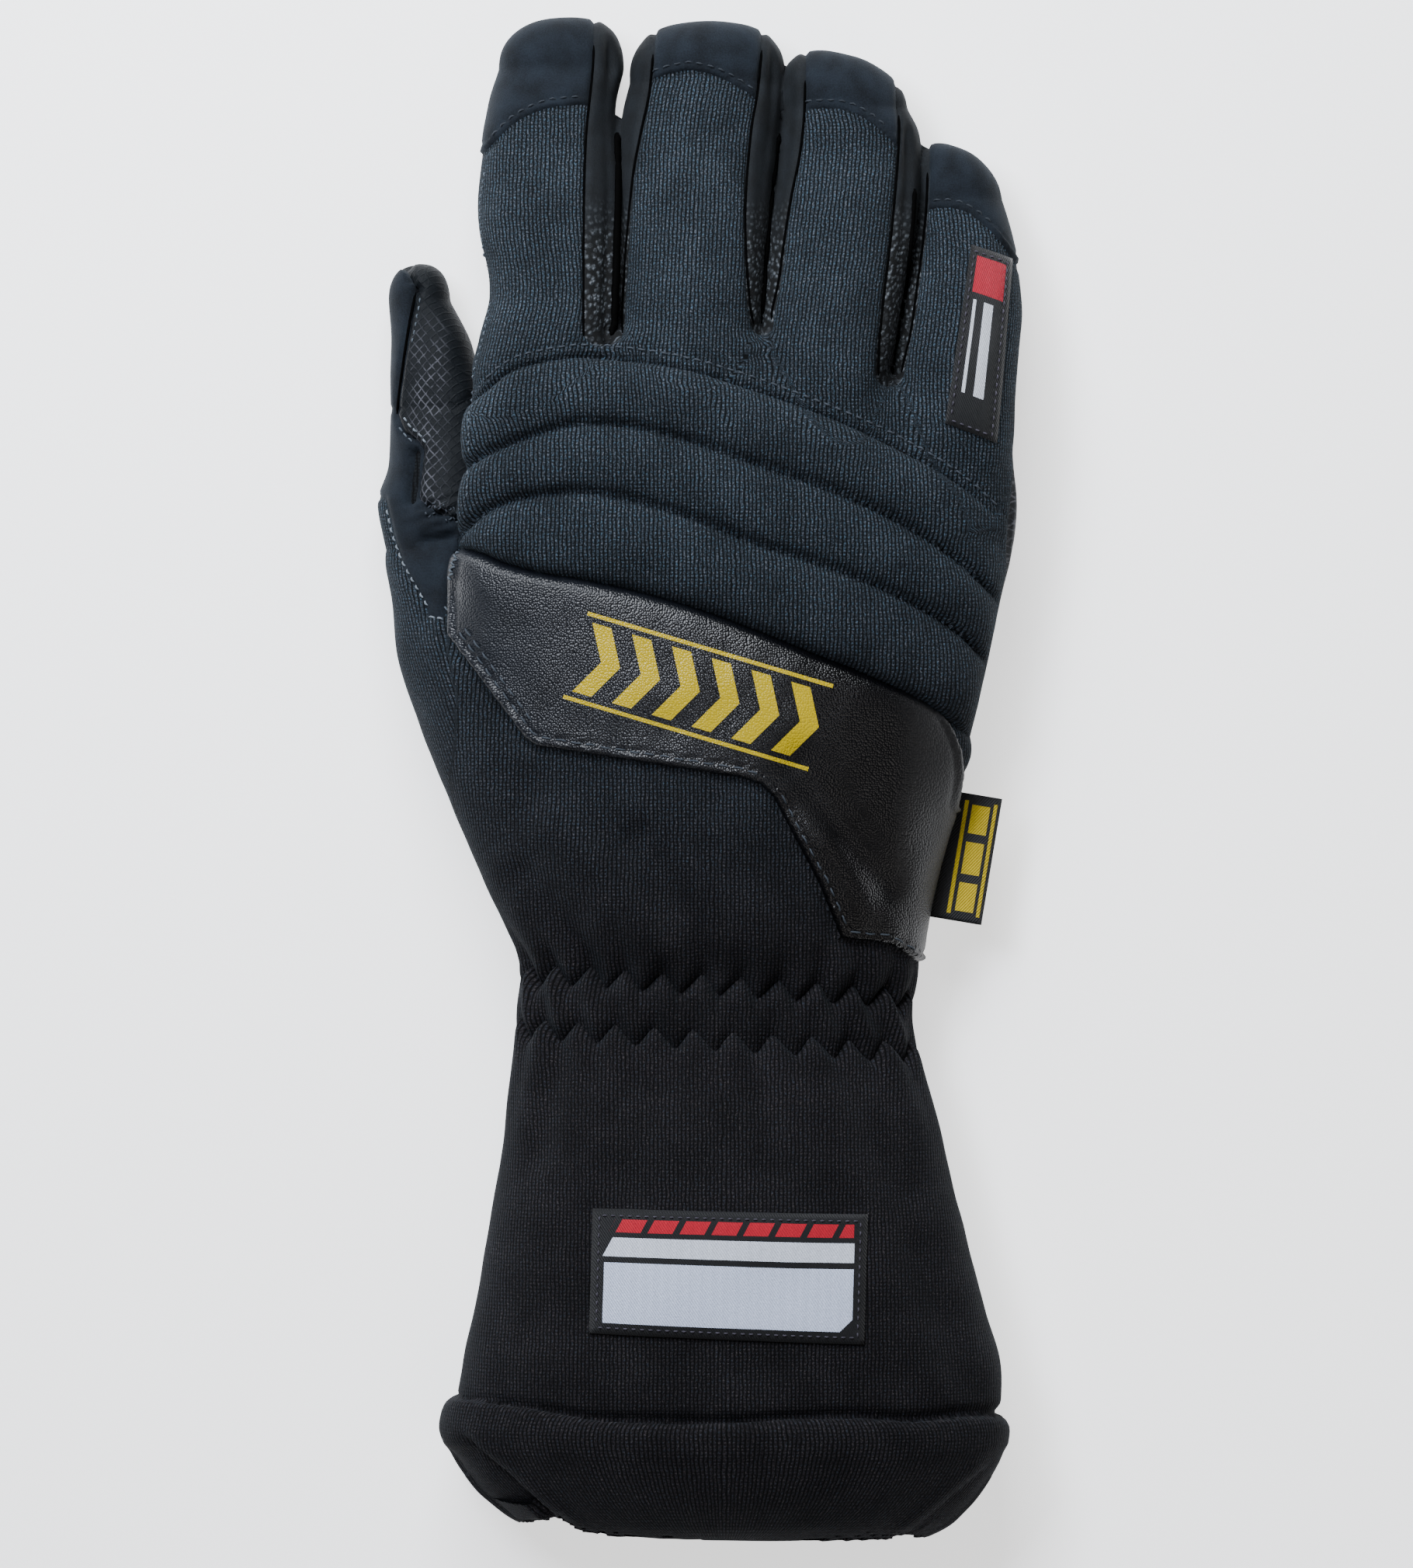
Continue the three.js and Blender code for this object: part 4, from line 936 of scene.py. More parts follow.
def suedeLeather(name, darkHex, lightHex, dotsBelow=None):
    # synthetic suede, brushed: short nap that catches light in soft streaks; dotsBelow adds raised shiny dots
    # with painted glints, and paints the part below dark
    material, add = startMaterial(name)
    cloth = add("UVMap", "clothMm")
    nap = add("TexNoise", "2D", Vector=cloth, Scale=suedeNap["napPerMm"], Detail=4.0, Roughness=0.7)
    streak = add("TexNoise", "2D", Vector=cloth, Scale=suedeNap["streakPerMm"], Detail=3.0)
    soft = add("Math", "MULTIPLY", streak, 0.5)
    mixed = add("Math", "MULTIPLY_ADD", nap, 0.6, soft)
    tone = add("MapRange", Value=mixed, From_Min=0.38, From_Max=0.72)
    color = add("MixRGB", "MIX", tone, hexColor(darkHex), hexColor(lightHex))
    height, rough = nap, 0.88
    if dotsBelow:
        # lower down it is near black, partly a darker leather and partly painted shade between the fingers,
        # and covered with uneven glossy pimples whose pale colour is a painted glint, painted on only some of
        # them
        grid = add("TexVoronoi", "2D", Vector=cloth, Scale=1 / suedeNap["dotMm"], Randomness=0.85)
        dot = add("MapRange", Value=grid.outputs["Distance"], From_Min=0.5, From_Max=0.12)
        along = add("SeparateXYZ", Vector=cloth).outputs[1]
        fade = suedeNap["dotFade"]
        low = add("MapRange", Value=along, From_Min=dotsBelow + fade, From_Max=dotsBelow - fade)
        # painted glints: a noise picks the pimples that are painted pale, the others stay dark
        worn = add("TexNoise", "2D", Vector=cloth, Scale=0.7, Detail=2.0)
        kept = add("MapRange", Value=worn, From_Min=0.4, From_Max=0.6, To_Min=0.15, To_Max=1.0)
        dot = add("Math", "MULTIPLY", dot, add("Math", "MULTIPLY", kept, low))
        # near black below: a darker leather and painted shade between the fingers
        black = add("MixRGB", "MIX", low, color, hexColor("#060708"))
        color = add("MixRGB", "MIX", dot, black, hexColor(suedeNap["dotGlintColor"]))
        height = add("Math", "MULTIPLY_ADD", dot, 4.0, height)
        rough = add("MapRange", Value=dot, To_Min=0.85, To_Max=0.15)
    bump = add("Bump", Strength=0.7, Distance=0.00012, Height=height)
    gloss, sheen = (0.2, 0.02) if dotsBelow else (0.12, 0.06)
    return setLook(
        material, Base_Color=color, Normal=bump, Roughness=rough, Specular_IOR_Level=gloss,
        Sheen_Weight=sheen, Sheen_Roughness=0.45, Sheen_Tint=hexColor("#a9b4bd"))


gripEmboss = {"latticeMm": 2.3, "bendPerMm": 0.5, "grainPerMm": 1.8, "wearPerMm": 0.3, "line": "#4b4c52"}


def gripLeather(name, darkHex, lightHex, shown=None):
    # synthetic leather, embossed: a lattice of fine light lines, low sheen;
    # shown keeps the lattice's lines to a place, as a painted highlight where the light catches them: the
    # axis of each fade, and the millimetres where it starts and ends
    material, add = startMaterial(name)
    cloth = add("UVMap", "clothMm")
    solid = add("TexCoord").outputs["Object"]
    drift = add("TexNoise", Vector=solid, Scale=gripEmboss["bendPerMm"] / metre, Detail=2.0)
    bent = add("MixRGB", "ADD", 0.4 * metre, solid, drift.outputs["Color"])
    split = add("SeparateXYZ", Vector=bent)
    lines = []
    for sign in (1, -1):
        slant = add("Math", "MULTIPLY_ADD", split.outputs[1], 0.9 * sign, split)
        slant = add("Math", "MULTIPLY_ADD", split.outputs[2], 0.7, slant)
        turn = add("Math", "MULTIPLY", slant, math.pi / (gripEmboss["latticeMm"] * metre))
        back = add("Math", "SINE", turn)
        thin = add("Math", "ABSOLUTE", back)
        lines.append(add("MapRange", Value=thin, From_Min=0.4, From_Max=0.12))
    lattice = add("Math", "MAXIMUM", lines[0], lines[1])
    grain = add("TexNoise", "2D", Vector=cloth, Scale=gripEmboss["grainPerMm"], Detail=4.0, Roughness=0.7)
    worn = add("TexNoise", "2D", Vector=cloth, Scale=gripEmboss["wearPerMm"], Detail=4.0, Roughness=0.7)
    wear = add("MapRange", Value=worn, From_Min=0.38, From_Max=0.6, To_Min=0.1, To_Max=1.0)
    amount = add("Math", "MULTIPLY", lattice, wear)
    # painted highlight: the lattice fades out outside the lit band
    if shown:
        place = add("SeparateXYZ", Vector=solid)
        for axis, first, last in shown:
            edge = add("MapRange", Value=place.outputs[axis], From_Min=first * metre, From_Max=last * metre)
            amount = add("Math", "MULTIPLY", amount, edge)
    tone = add("MixRGB", "MIX", grain, hexColor(darkHex), hexColor(lightHex))
    base = add("MixRGB", "MIX", amount, tone, hexColor(gripEmboss["line"]))
    high = add("Math", "MULTIPLY_ADD", lattice, 0.8, grain)
    bump = add("Bump", Strength=0.7, Distance=0.00018, Height=high)
    rough = add("MapRange", Value=grain, To_Min=0.5, To_Max=0.72)
    return setLook(material, Base_Color=base, Normal=bump, Roughness=rough, Specular_IOR_Level=0.12)


# The patch's print: slanted bars between two thin rails, turned with the patch.
printArea = {
    "middle": (-0.5, 19.6), "turn": -16.5, "width": 58, "height": 20.5, "rail": 0.9, "bar": 4.7, "lean": 0.55,
}
pebbles = {
    "cellPerMm": 1.9, "finePerMm": 1.6, "broadPerMm": 0.08, "litSide": "#191c22", "shadedSide": "#040406",
    "ink": "#b49c00",
}


def smoothLeather(name):
    # goat leather, finished and pebbled: small soft cells, a broad sheen, and a screen print in yellow
    material, add = startMaterial(name)
    cloth = add("UVMap", "clothMm")
    cells = add("TexVoronoi", "2D", Vector=cloth, Scale=pebbles["cellPerMm"], Randomness=0.85)
    fine = add("TexNoise", "2D", Vector=cloth, Scale=pebbles["finePerMm"], Detail=3.0, Roughness=0.55)
    soft = add("Math", "MULTIPLY", fine, 0.2)
    high = add("Math", "MULTIPLY_ADD", cells.outputs["Distance"], -1.0, soft)
    broad = add("TexNoise", "2D", Vector=cloth, Scale=pebbles["broadPerMm"], Detail=2.0)
    # painted sheen: the colour is lighter towards the thumb, where the side light glances off, and darker
    # towards the little finger, where the leather is also a little smoother
    place = add("TexCoord").outputs["Object"]
    across = add("SeparateXYZ", Vector=place)
    shadedSide = add("MapRange", Value=across, From_Min=-0.05, From_Max=0.03)
    # painted light and shade across the patch, from the lit side to the shaded side
    tone = add("MixRGB", "MIX", shadedSide, hexColor(pebbles["litSide"]), hexColor(pebbles["shadedSide"]))
    tone = add("MixRGB", "MULTIPLY", 0.5, tone, broad)
    # the print, in the plane seen from above
    mx, my = printArea["middle"]
    turned = add(
        "Mapping", "TEXTURE", Vector=place, Location=(mx * metre, my * metre, 0),
        Rotation=(0, 0, math.radians(printArea["turn"])), Scale=(metre, metre, metre))
    flat = add("SeparateXYZ", Vector=turned)
    aside, above = [add("Math", "ABSOLUTE", flat.outputs[axis]) for axis in (0, 1)]
    half, rail, bar = printArea["height"] / 2, printArea["rail"], printArea["bar"]
    slide = add("Math", "SUBTRACT", flat, printArea["lean"] * half / 2)
    chevron = add("Math", "MULTIPLY_ADD", above, printArea["lean"], slide)
    bars = add("Math", "GREATER_THAN", add("Math", "PINGPONG", chevron, bar), bar * 0.52)
    for value, limit in ((above, half - rail * 2.4), (add("Math", "ABSOLUTE", chevron), bar * 6)):
        bars = add("Math", "MULTIPLY", bars, add("Math", "LESS_THAN", value, limit))
    rails = add("Math", "GREATER_THAN", above, half - rail)
    for value, limit in ((above, half), (aside, printArea["width"] / 2)):
        rails = add("Math", "MULTIPLY", rails, add("Math", "LESS_THAN", value, limit))
    marks = add("Math", "MAXIMUM", bars, rails)
    worn = add("MapRange", Value=high, From_Min=0.0, From_Max=0.12, To_Min=0.86, To_Max=1.0)
    ink = add("Math", "MULTIPLY", marks, worn)
    base = add("MixRGB", "MIX", ink, tone, hexColor(pebbles["ink"]))
    bump = add("Bump", Strength=0.75, Distance=0.0002, Height=high)
    sheen = add("MapRange", Value=fine, To_Min=0.28, To_Max=0.42)
    rough = add("Math", "MULTIPLY_ADD", shadedSide, -0.1, sheen)
    edge = add("MapRange", Value=across, From_Min=0.043, From_Max=0.055, To_Max=0.35)
    rough = add("Math", "ADD", rough, edge)
    return setLook(material, Base_Color=base, Normal=bump, Roughness=rough, Specular_IOR_Level=0.38)


# one knit, its finger tones lit and its cuff tones shaded: painted light and shade
litFingerTones = ("#080a0b", "#272d33", "#3f5464", "#535860")
shadedCuffTones = ("#060606", "#1d1b1e", "#262c34", "#383536")
knit = ribKnit("aramidRibKnit", litFingerTones, shadedCuffTones)
suede = suedeLeather("brushedSuede", "#0b0e12", "#191f26")
# the caps' suede in darker tones: painted shade on the side panels between the fingers
sideSuedeInShade = suedeLeather("dottedSuedeInShade", "#07090b", "#14181c", dotsBelow=126)
grip = gripLeather("embossedGripLeather", "#090b0d", "#191d21")
# the thumb's lattice shows only in the band where the light catches it: a painted highlight
latticeLitPlace = [(0, -67.5, -64.5), (0, -57.0, -60.5), (1, 108, 96)]
thumbGrip = gripLeather("embossedThumbLeather", "#06080a", "#101418", latticeLitPlace)
leather = smoothLeather("pebbledLeather")

panels = {  # panel: material, record slot, the nodes that it stands for
    "back_panel": (knit, "knit", ["back_panel", "thumb_base"]),
    "palm_panel": (grip, "grip_leather", ["palm_panel"]),
    "knuckle_pad": (knit, "knit", ["knuckle_pad"]),
    "leather_patch": (leather, "smooth_leather", ["leather_patch"]),
    "gathered_wrist": (knit, "knit", ["gathered_wrist"]),
    "cuff": (knit, "knit", ["cuff"]),
    "rolled_hem": (knit, "knit", ["rolled_hem"]),
    "thumb_leather": (thumbGrip, "grip_leather", ["thumb_leather"]),
    "thumb_gusset": (suede, "suede", ["thumb_gusset"]),
    **{slot: (sideSuedeInShade, "suede", [slot]) for slot in slots},
    **{cap: (suede, "suede", [cap]) for cap in capEdges},
}
uv = np.stack([get("around"), get("y")], 1)
for name, (material, slot, nodes) in panels.items():
    mine = faces[label == name]
    used, inverse = np.unique(mine, return_inverse=True)
    piece = makeMesh("skin_" + name, placed[used], inverse.reshape(-1, 3), uv[used])
    finishPiece(piece, material, slot, nodes)
print("panels made")


# The lining: the inner surface of the whole hollow, down to the hem's turned edge.
def liningField(x, y, z):
    hem = np.maximum(tubeField(hemRoll, x, y, z), y - limits["liningHem"])
    return softMin(bodyField(x, y, z), hem, 1.0) + skin["wall"]


inner, innerSquares = surfaceNet(liningField, (-75, -172, -2), (76, 176, 52), skin["liningStep"])
inner, outOf = settle(liningField, inner, 1)
lowered = foldDepth(folds, *inner.T[:2]) * step(outOf[:, 2], 0, 0.5) + np.minimum(shelfDepth(*inner.T[:2]), 0)
lowered -= 1.6 * step(inner[:, 1], -72, -62) * step(-inner[:, 1], 34, 44)
inner = inner + outOf * lowered[:, None]
inReach = inner[:, 1] > limits["lining"]
innerSquares = innerSquares[inReach[innerSquares].all(1)][:, ::-1]
used, inverse = np.unique(innerSquares, return_inverse=True)
liningTones = ("#060607", "#121416", "#1a1e22", "#1c1d1f")
lining = makeMesh("lining", inner[used], inverse.reshape(-1, 4), inner[used][:, :2])
finishPiece(lining, ribKnit("liningKnit", liningTones, liningTones), "knit")
print("lining made", len(lining.data.polygons))

# A tree of the finished surface, for what is sewn on top of it.
keep = label != "spare"
surface = BVHTree.FromPolygons(placed.tolist(), faces[keep].tolist())


def dropOn(x, y):
    # the top of the glove under a place seen from above, and the direction out of it
    spot, way, _, _ = surface.ray_cast(Vector((x, y, 80)), Vector((0, 0, -1)))
    if spot is None:
        spot, way, _, _ = surface.find_nearest(Vector((x, y, 20)))
    return np.array(spot), np.array(way if way.z > 0 else -way)


thread = {"radius": 0.24, "length": 1.9, "pitch": 2.6, "sides": 6}


def unit(vectors):
    return vectors / (np.linalg.norm(vectors, axis=-1, keepdims=True) + 1e-9)


def leftOf(path):
    # the direction to the left of each place on a path seen from above
    way = unit(np.gradient(np.asarray(path, float), axis=0))
    return np.stack([-way[:, 1], way[:, 0]], 1)


def walkRoute(route):
    # the length of a route seen from above, and a function for the place after any part of it
    route = np.asarray(route, float)
    run = np.concatenate([[0], np.cumsum(np.hypot(*np.diff(route, axis=0).T))])

    def place(at):
        return np.stack([np.interp(at, run, route[:, i]) for i in (0, 1)], -1)

    return run[-1], place


def ringTube(centres, girths, asides, ups, first=0):
    # a closed tube of small rings round a line, its points numbered from first
    sides = thread["sides"]
    turns = [2 * math.pi * k / sides for k in range(sides)]
    points = [
        c + g * (math.cos(a) * s + math.sin(a) * u)
        for c, g, s, u in zip(centres, girths, asides, ups) for a in turns]
    last = first + (len(centres) - 1) * sides
    faces = []
    for start in range(first, last, sides):
        for k in range(sides):
            a, b = start + k, start + (k + 1) % sides
            faces.append((a, b, b + sides, a + sides))
    faces.append(tuple(first + k for k in reversed(range(sides))))
    faces.append(tuple(last + k for k in range(sides)))
    return points, faces


def plainThread(name, hexCode, gloss=0.15):
    # spun aramid sewing thread: matt, slightly uneven in tone from stitch to stitch
    material, add = startMaterial(name)
    tone = add("TexNoise", Vector=add("TexCoord").outputs["Object"], Scale=700.0, Detail=2.0)
    dark, light = [(*[min(c * share, 1) for c in hexColor(hexCode)[:3]], 1) for share in (0.55, 1.7)]
    base = add("MixRGB", "MIX", tone, dark, light)
    return setLook(material, Base_Color=base, Roughness=0.8, Specular_IOR_Level=gloss)


shadeBlack = plainThread("paintedSeamShade", "#020202", 0.02)
threadDark = plainThread("cappingThread", "#24282d")
threadGrey = plainThread("spunThread", "#31363c")
threadMid = plainThread("twistedThread", "#444b52")
threadLight = plainThread("overlockThread", "#5f666d")


def stitchRow(
        name, route, pitch=thread["pitch"], length=thread["length"], radius=thread["radius"],
        material=threadGrey):
    # short threads laid end to end along a route seen from above, without those that would hang down a wall
    total, place = walkRoute(route)
    share = np.array([0, 0.18, 0.5, 0.82, 1])
    lift = np.array([-0.25, 0.12, 0.3, 0.12, -0.25])
    girths = np.array([0.35, 0.9, 1, 0.9, 0.35]) * radius
    points, faces = [], []
    for start in np.arange(0.3, total - length, pitch):
        spine = [dropOn(*spot) for spot in place(start + length * share)]
        if np.ptp([spot[2] for spot, _ in spine]) > length * 1.1:
            continue
        centres = np.array([spot + way * h for (spot, way), h in zip(spine, lift)])
        along = unit(centres[-1] - centres[0])
        aside = unit(np.cross(along, np.mean([way for _, way in spine], 0)))
        up = np.cross(aside, along)
        stitch = ringTube(centres, girths, [aside] * 5, [up] * 5, len(points))
        points += stitch[0]
        faces += stitch[1]
    if points:
        finishPiece(makeMesh(name, np.array(points), faces), material, "knit")


def shadeCord(name, route, radius):
    # a black roll that lies in the seam: painted shade, for a dark line too fine for the mesh to shade
    total, place = walkRoute(route)
    along = np.linspace(0, total, max(int(total / 1.2), 3))
    spots = [dropOn(*spot) for spot in place(along)]
    centres = np.array([spot + way * radius * 0.2 for spot, way in spots])
    ahead = unit(np.gradient(centres, axis=0))
    asides = unit(np.cross(ahead, np.array([way for _, way in spots])))
    girths = radius * np.minimum(1, 0.4 + np.minimum(along, total - along))
    points, faces = ringTube(centres, girths, asides, np.cross(asides, ahead))
    finishPiece(makeMesh(name, np.array(points), faces), shadeBlack, "knit")


def zigzag(route, wide, pitch):
    # a route that swings from side to side of another one
    total, place = walkRoute(route)
    at = np.arange(0, total, pitch)
    path = place(at)
    swing = wide * (1 - 2 * (np.arange(len(at)) % 2))
    return path + swing[:, None] * leftOf(path)


def besideLine(pairs, xs, shift):
    # a route above a smooth line given as x, y
    return np.stack([xs, curveThrough(pairs, xs) + shift], 1)


def upLine(pairs, low, high):
    # a route along a seam given as y, x
    heights = np.linspace(low, high, 24)
    return np.stack([curveThrough(pairs, heights), heights], 1)


def insetRoute(outline, inset):
    return np.asarray(outline, float) + inset * leftOf(outline)


capSpans = {"index": (-48, -27.5), "middle": (-11.5, 12.5), "ring": (23.5, 43.5), "little": (53, 68)}
for finger, ends in capSpans.items():
    cap = "tip_cap_" + finger
    stitchRow("stitches_" + cap, besideLine(capEdges[cap], np.linspace(*ends, 16), 1.8), material=threadDark)
topLine = [row[:2] for row in ribLines]
stitchRow("stitches_pad_top", besideLine(topLine, np.linspace(-49, 69, 60), 2.8))

# painted shade: a black cord along the thumb's strip seam
thumbStrip = [(-65.5, 111.6), (-66.6, 106.0), (-68.0, 97.0), (-69.3, 88.0), (-69.7, 83.6)]
shadeCord("shade_thumb_strip", thumbStrip, 0.34)
seamTops = dict(indexRight=168, middleLeft=166, middleRight=167, ringLeft=160, ringRight=152, littleLeft=139)
for slot, made in slots.items():
    # painted shade: black cords in the cleft between each pair of fingers and along their panels' seams
    dark = upLine(made["cleft"], made["end"] + 2.5, made["cleft"][-1][0] - 2)
    shadeCord(slot.replace("side_panel", "crease"), dark, 1.0 if "index" in slot else 0.6)
    for seam, start in zip(made["seams"], (2, 3)):
        shadeCord("shade_" + seam, upLine(backSeams[seam], made["end"] + start, seamTops[seam]), 0.3)

gussetLeft = [(-72.0, 62.0), (-70.6, 56.0), (-68.4, 50.0), (-65.4, 44.6), (-61.8, 38.5)]
gussetRight = [(-58.1, 37.3), (-57.6, 42.0), (-56.6, 47.5), (-55.0, 52.6)]
thumbFoot = np.array([(-63.2, 60.6), (-58.5, 59.4), (-54.0, 58.6)])
handEdge = [
    (-49.2, 139), (-50.3, 132), (-50.2, 126), (-49.0, 117), (-47.6, 109), (-49.4, 100), (-51.6, 92),
    (-52.4, 82), (-52.6, 72), (-53.0, 62),
]
patchMiddle = [(16.6, -4.4), (21.5, -14), (27.2, -24.2), (32.0, -35.4)]
patchLow = [(33.6, -36.9), (42.7, -37.7), (50.2, -42.3)]
thumbEdge = [(-68.2, 83.0), (-66.6, 80.6), (-64.2, 78.6), (-62.6, 76.4)]
sewnRows = {  # route seen from above, pitch, length and radius of the stitches, and their thread
    "patch_left": (insetRoute(patchEdge[2:8], 1.9), 3.4, 2.7, 0.24, threadGrey),
    "patch_middle": (insetRoute(patchMiddle, 1.9), 3.4, 2.7, 0.24, threadGrey),
    "patch_low": (insetRoute(patchLow, 1.9), 3.4, 2.7, 0.24, threadGrey),
    "patch_second": (insetRoute(patchEdge[2:4], 3.4), 3.4, 2.7, 0.24, threadGrey),
    "gusset_left": (gussetLeft, 2.1, 1.5, 0.24, threadLight),
    "gusset_right": (zigzag(gussetRight, 0.55, 0.85), 1.39, 1.15, 0.26, threadMid),
    "gusset_low": ([(-62.4, 36.8), (-57.4, 36.0)], 1.9, 1.5, 0.26, threadLight),
    "thumb_seam": ([(-64.3, 110.6), (-65.1, 105.0), (-66.3, 99.0)], 1.9, 1.2, 0.2, threadMid),
    "thumb_edge": (thumbEdge, 1.7, 1.3, 0.24, threadLight),
    "thumb_edge_low": ([(-69.4, 80.8), (-67.8, 78.6), (-65.6, 76.6)], 1.7, 1.3, 0.22, threadMid),
    "thumb_foot_0": (zigzag(thumbFoot, 0.7, 1.1), 1.3, 1.0, 0.2, threadGrey),
    "thumb_foot_2": (zigzag(thumbFoot + (0, 2.2), 0.7, 1.1), 1.3, 1.0, 0.2, threadGrey),
    "hand_edge": (handEdge, 1.7, 1.1, 0.2, threadMid),
}
for name, sewn in sewnRows.items():
    stitchRow("stitches_" + name, *sewn)
print("stitches made")


# Labels, each a woven ribbon draped on the glove: its corners seen from above, from the corner at u = v = 0,
# its size in millimetres, the cells of its mesh and how high it lies.
labels = {
    "cuff_label": {
        "corners": [(-25.1, -125.9), (37.0, -128.4), (37.9, -99.2), (-24.3, -97.8)],
        "size": (62.3, 29.0), "cells": (48, 24), "lift": 0.9,
    },
    "finger_label": {
        "corners": [(55.7, 80.7), (67.3, 76.3), (71.2, 118.8), (62.0, 121.8)],
        "size": (12.0, 41.5), "cells": (14, 40), "lift": 0.8,
    },
}


def onLabel(made, s, t):
    # the place seen from above at a share s of the label's width and t of its height
    c = np.array(made["corners"], float)
    s, t = np.asarray(s)[..., None], np.asarray(t)[..., None]
    return (1 - s) * ((1 - t) * c[0] + t * c[3]) + s * ((1 - t) * c[1] + t * c[2])


def slabFaces(nu, nv, flip=False):
    # the faces of a thin sheet whose upper and lower sides are grids of points
    upper = np.arange((nu + 1) * (nv + 1)).reshape(nu + 1, nv + 1)
    lower = upper + upper.size
    faces = []
    for i in range(nu):
        for j in range(nv):
            faces.append((upper[i, j], upper[i + 1, j], upper[i + 1, j + 1], upper[i, j + 1]))
            faces.append((lower[i, j], lower[i, j + 1], lower[i + 1, j + 1], lower[i + 1, j]))
    rims = [(lower[:, 0], upper[:, 0]), (upper[:, -1], lower[:, -1])]
    rims += [(upper[0], lower[0]), (lower[-1], upper[-1])]
    for a, b in rims:
        faces += [(a[k], a[k + 1], b[k + 1], b[k]) for k in range(len(a) - 1)]
    return [tuple(int(k) for k in (face[::-1] if flip else face)) for face in faces]


def drapedLabel(name, made):
    # it follows the evened-out surface below it, and its rim is pressed down along the stitches
    nu, nv = made["cells"]
    s, t = np.meshgrid(np.linspace(0, 1, nu + 1), np.linspace(0, 1, nv + 1), indexing="ij")
    spots = [dropOn(*spot) for spot in onLabel(made, s, t).reshape(-1, 2)]
    ground = np.array([spot for spot, _ in spots]).reshape(nu + 1, nv + 1, 3)
    ways = np.array([way for _, way in spots]).reshape(nu + 1, nv + 1, 3)
    for field in (ground, ways):
        for _ in range(6):
            around = field[:-2, 1:-1] + field[2:, 1:-1] + field[1:-1, :-2] + field[1:-1, 2:]
            field[1:-1, 1:-1] = 0.5 * field[1:-1, 1:-1] + 0.125 * around
    ways = unit(ways)
    wide, tall = made["size"]
    edge = np.minimum(np.minimum(s, 1 - s) * wide, np.minimum(t, 1 - t) * tall)
    lift = made["lift"] * (0.72 + 0.28 * np.clip(edge / 0.6, 0, 1)) + valley(edge - 1.5, 0.16, 0.6)
    sides = [(ground + ways * lift[..., None]).reshape(-1, 3), (ground - ways * 0.25).reshape(-1, 3)]
    flat = np.stack([s.ravel() * wide, t.ravel() * tall], 1)
    return makeMesh("woven_" + name, np.concatenate(sides), slabFaces(nu, nv), np.concatenate([flat, flat]))


ribbonWeave = {"bandMm": 2.6, "twillMm": 0.62}


def wovenRibbon(name, groundHex, marks):
    # damask-woven ribbon: twill ridges, drawn a little coarse so that they show, and faint upright bands;
    # a mark is a field of one colour, from u to u and v to v, that may slant, repeat or lose a corner
    material, add = startMaterial(name)
    cloth = add("UVMap", "clothMm")
    u, v = add("SeparateXYZ", Vector=cloth).outputs[:2]
    color = hexColor(groundHex)
    for mark in marks:
        slid = add("Math", "MULTIPLY_ADD", v, mark.get("slant", 0.0), u)
        tests = [(slid, "GREATER_THAN", mark["u"][0]), (u, "LESS_THAN", mark["u"][1])]
        tests += [(v, "GREATER_THAN", mark["v"][0]), (v, "LESS_THAN", mark["v"][1])]
        if "corner" in mark:
            tests.append((add("Math", "SUBTRACT", v, u), "GREATER_THAN", mark["corner"]))
        if "every" in mark:
            cycle = add("Math", "PINGPONG", slid, mark["every"])
            tests.append((cycle, "GREATER_THAN", mark["every"] * mark["gap"]))
        mask = 1.0
        for value, operation, limit in tests:
            mask = add("Math", "MULTIPLY", mask, add("Math", operation, value, limit))
        color = add("MixRGB", "MIX", mask, color, hexColor(mark["color"]))
    band = add("Math", "SINE", add("Math", "MULTIPLY", u, 2 * math.pi / ribbonWeave["bandMm"]))
    band = add("MapRange", Value=band, From_Min=-1.0, From_Max=1.0, To_Min=0.97, To_Max=1.02)
    slope = add("Math", "MULTIPLY_ADD", v, 0.7, u)
    twill = add("Math", "SINE", add("Math", "MULTIPLY", slope, 2 * math.pi / ribbonWeave["twillMm"]))
    ridges = add("MapRange", Value=twill, From_Min=-1.0, From_Max=1.0, To_Min=0.78, To_Max=1.06)
    cross = add("TexNoise", "2D", Vector=cloth, Scale=2.2, Detail=2.0)
    speck = add("MapRange", Value=cross, From_Min=0.3, From_Max=0.7, To_Min=0.86, To_Max=1.1)
    tone = add("Math", "MULTIPLY", add("Math", "MULTIPLY", ridges, speck), band)
    base = add("MixRGB", "MULTIPLY", 1.0, color, tone)
    bump = add("Bump", Strength=0.6, Distance=0.0001, Height=twill)
    return setLook(
        material, Base_Color=base, Normal=bump, Roughness=0.6, Specular_IOR_Level=0.25, Sheen_Weight=0.05)


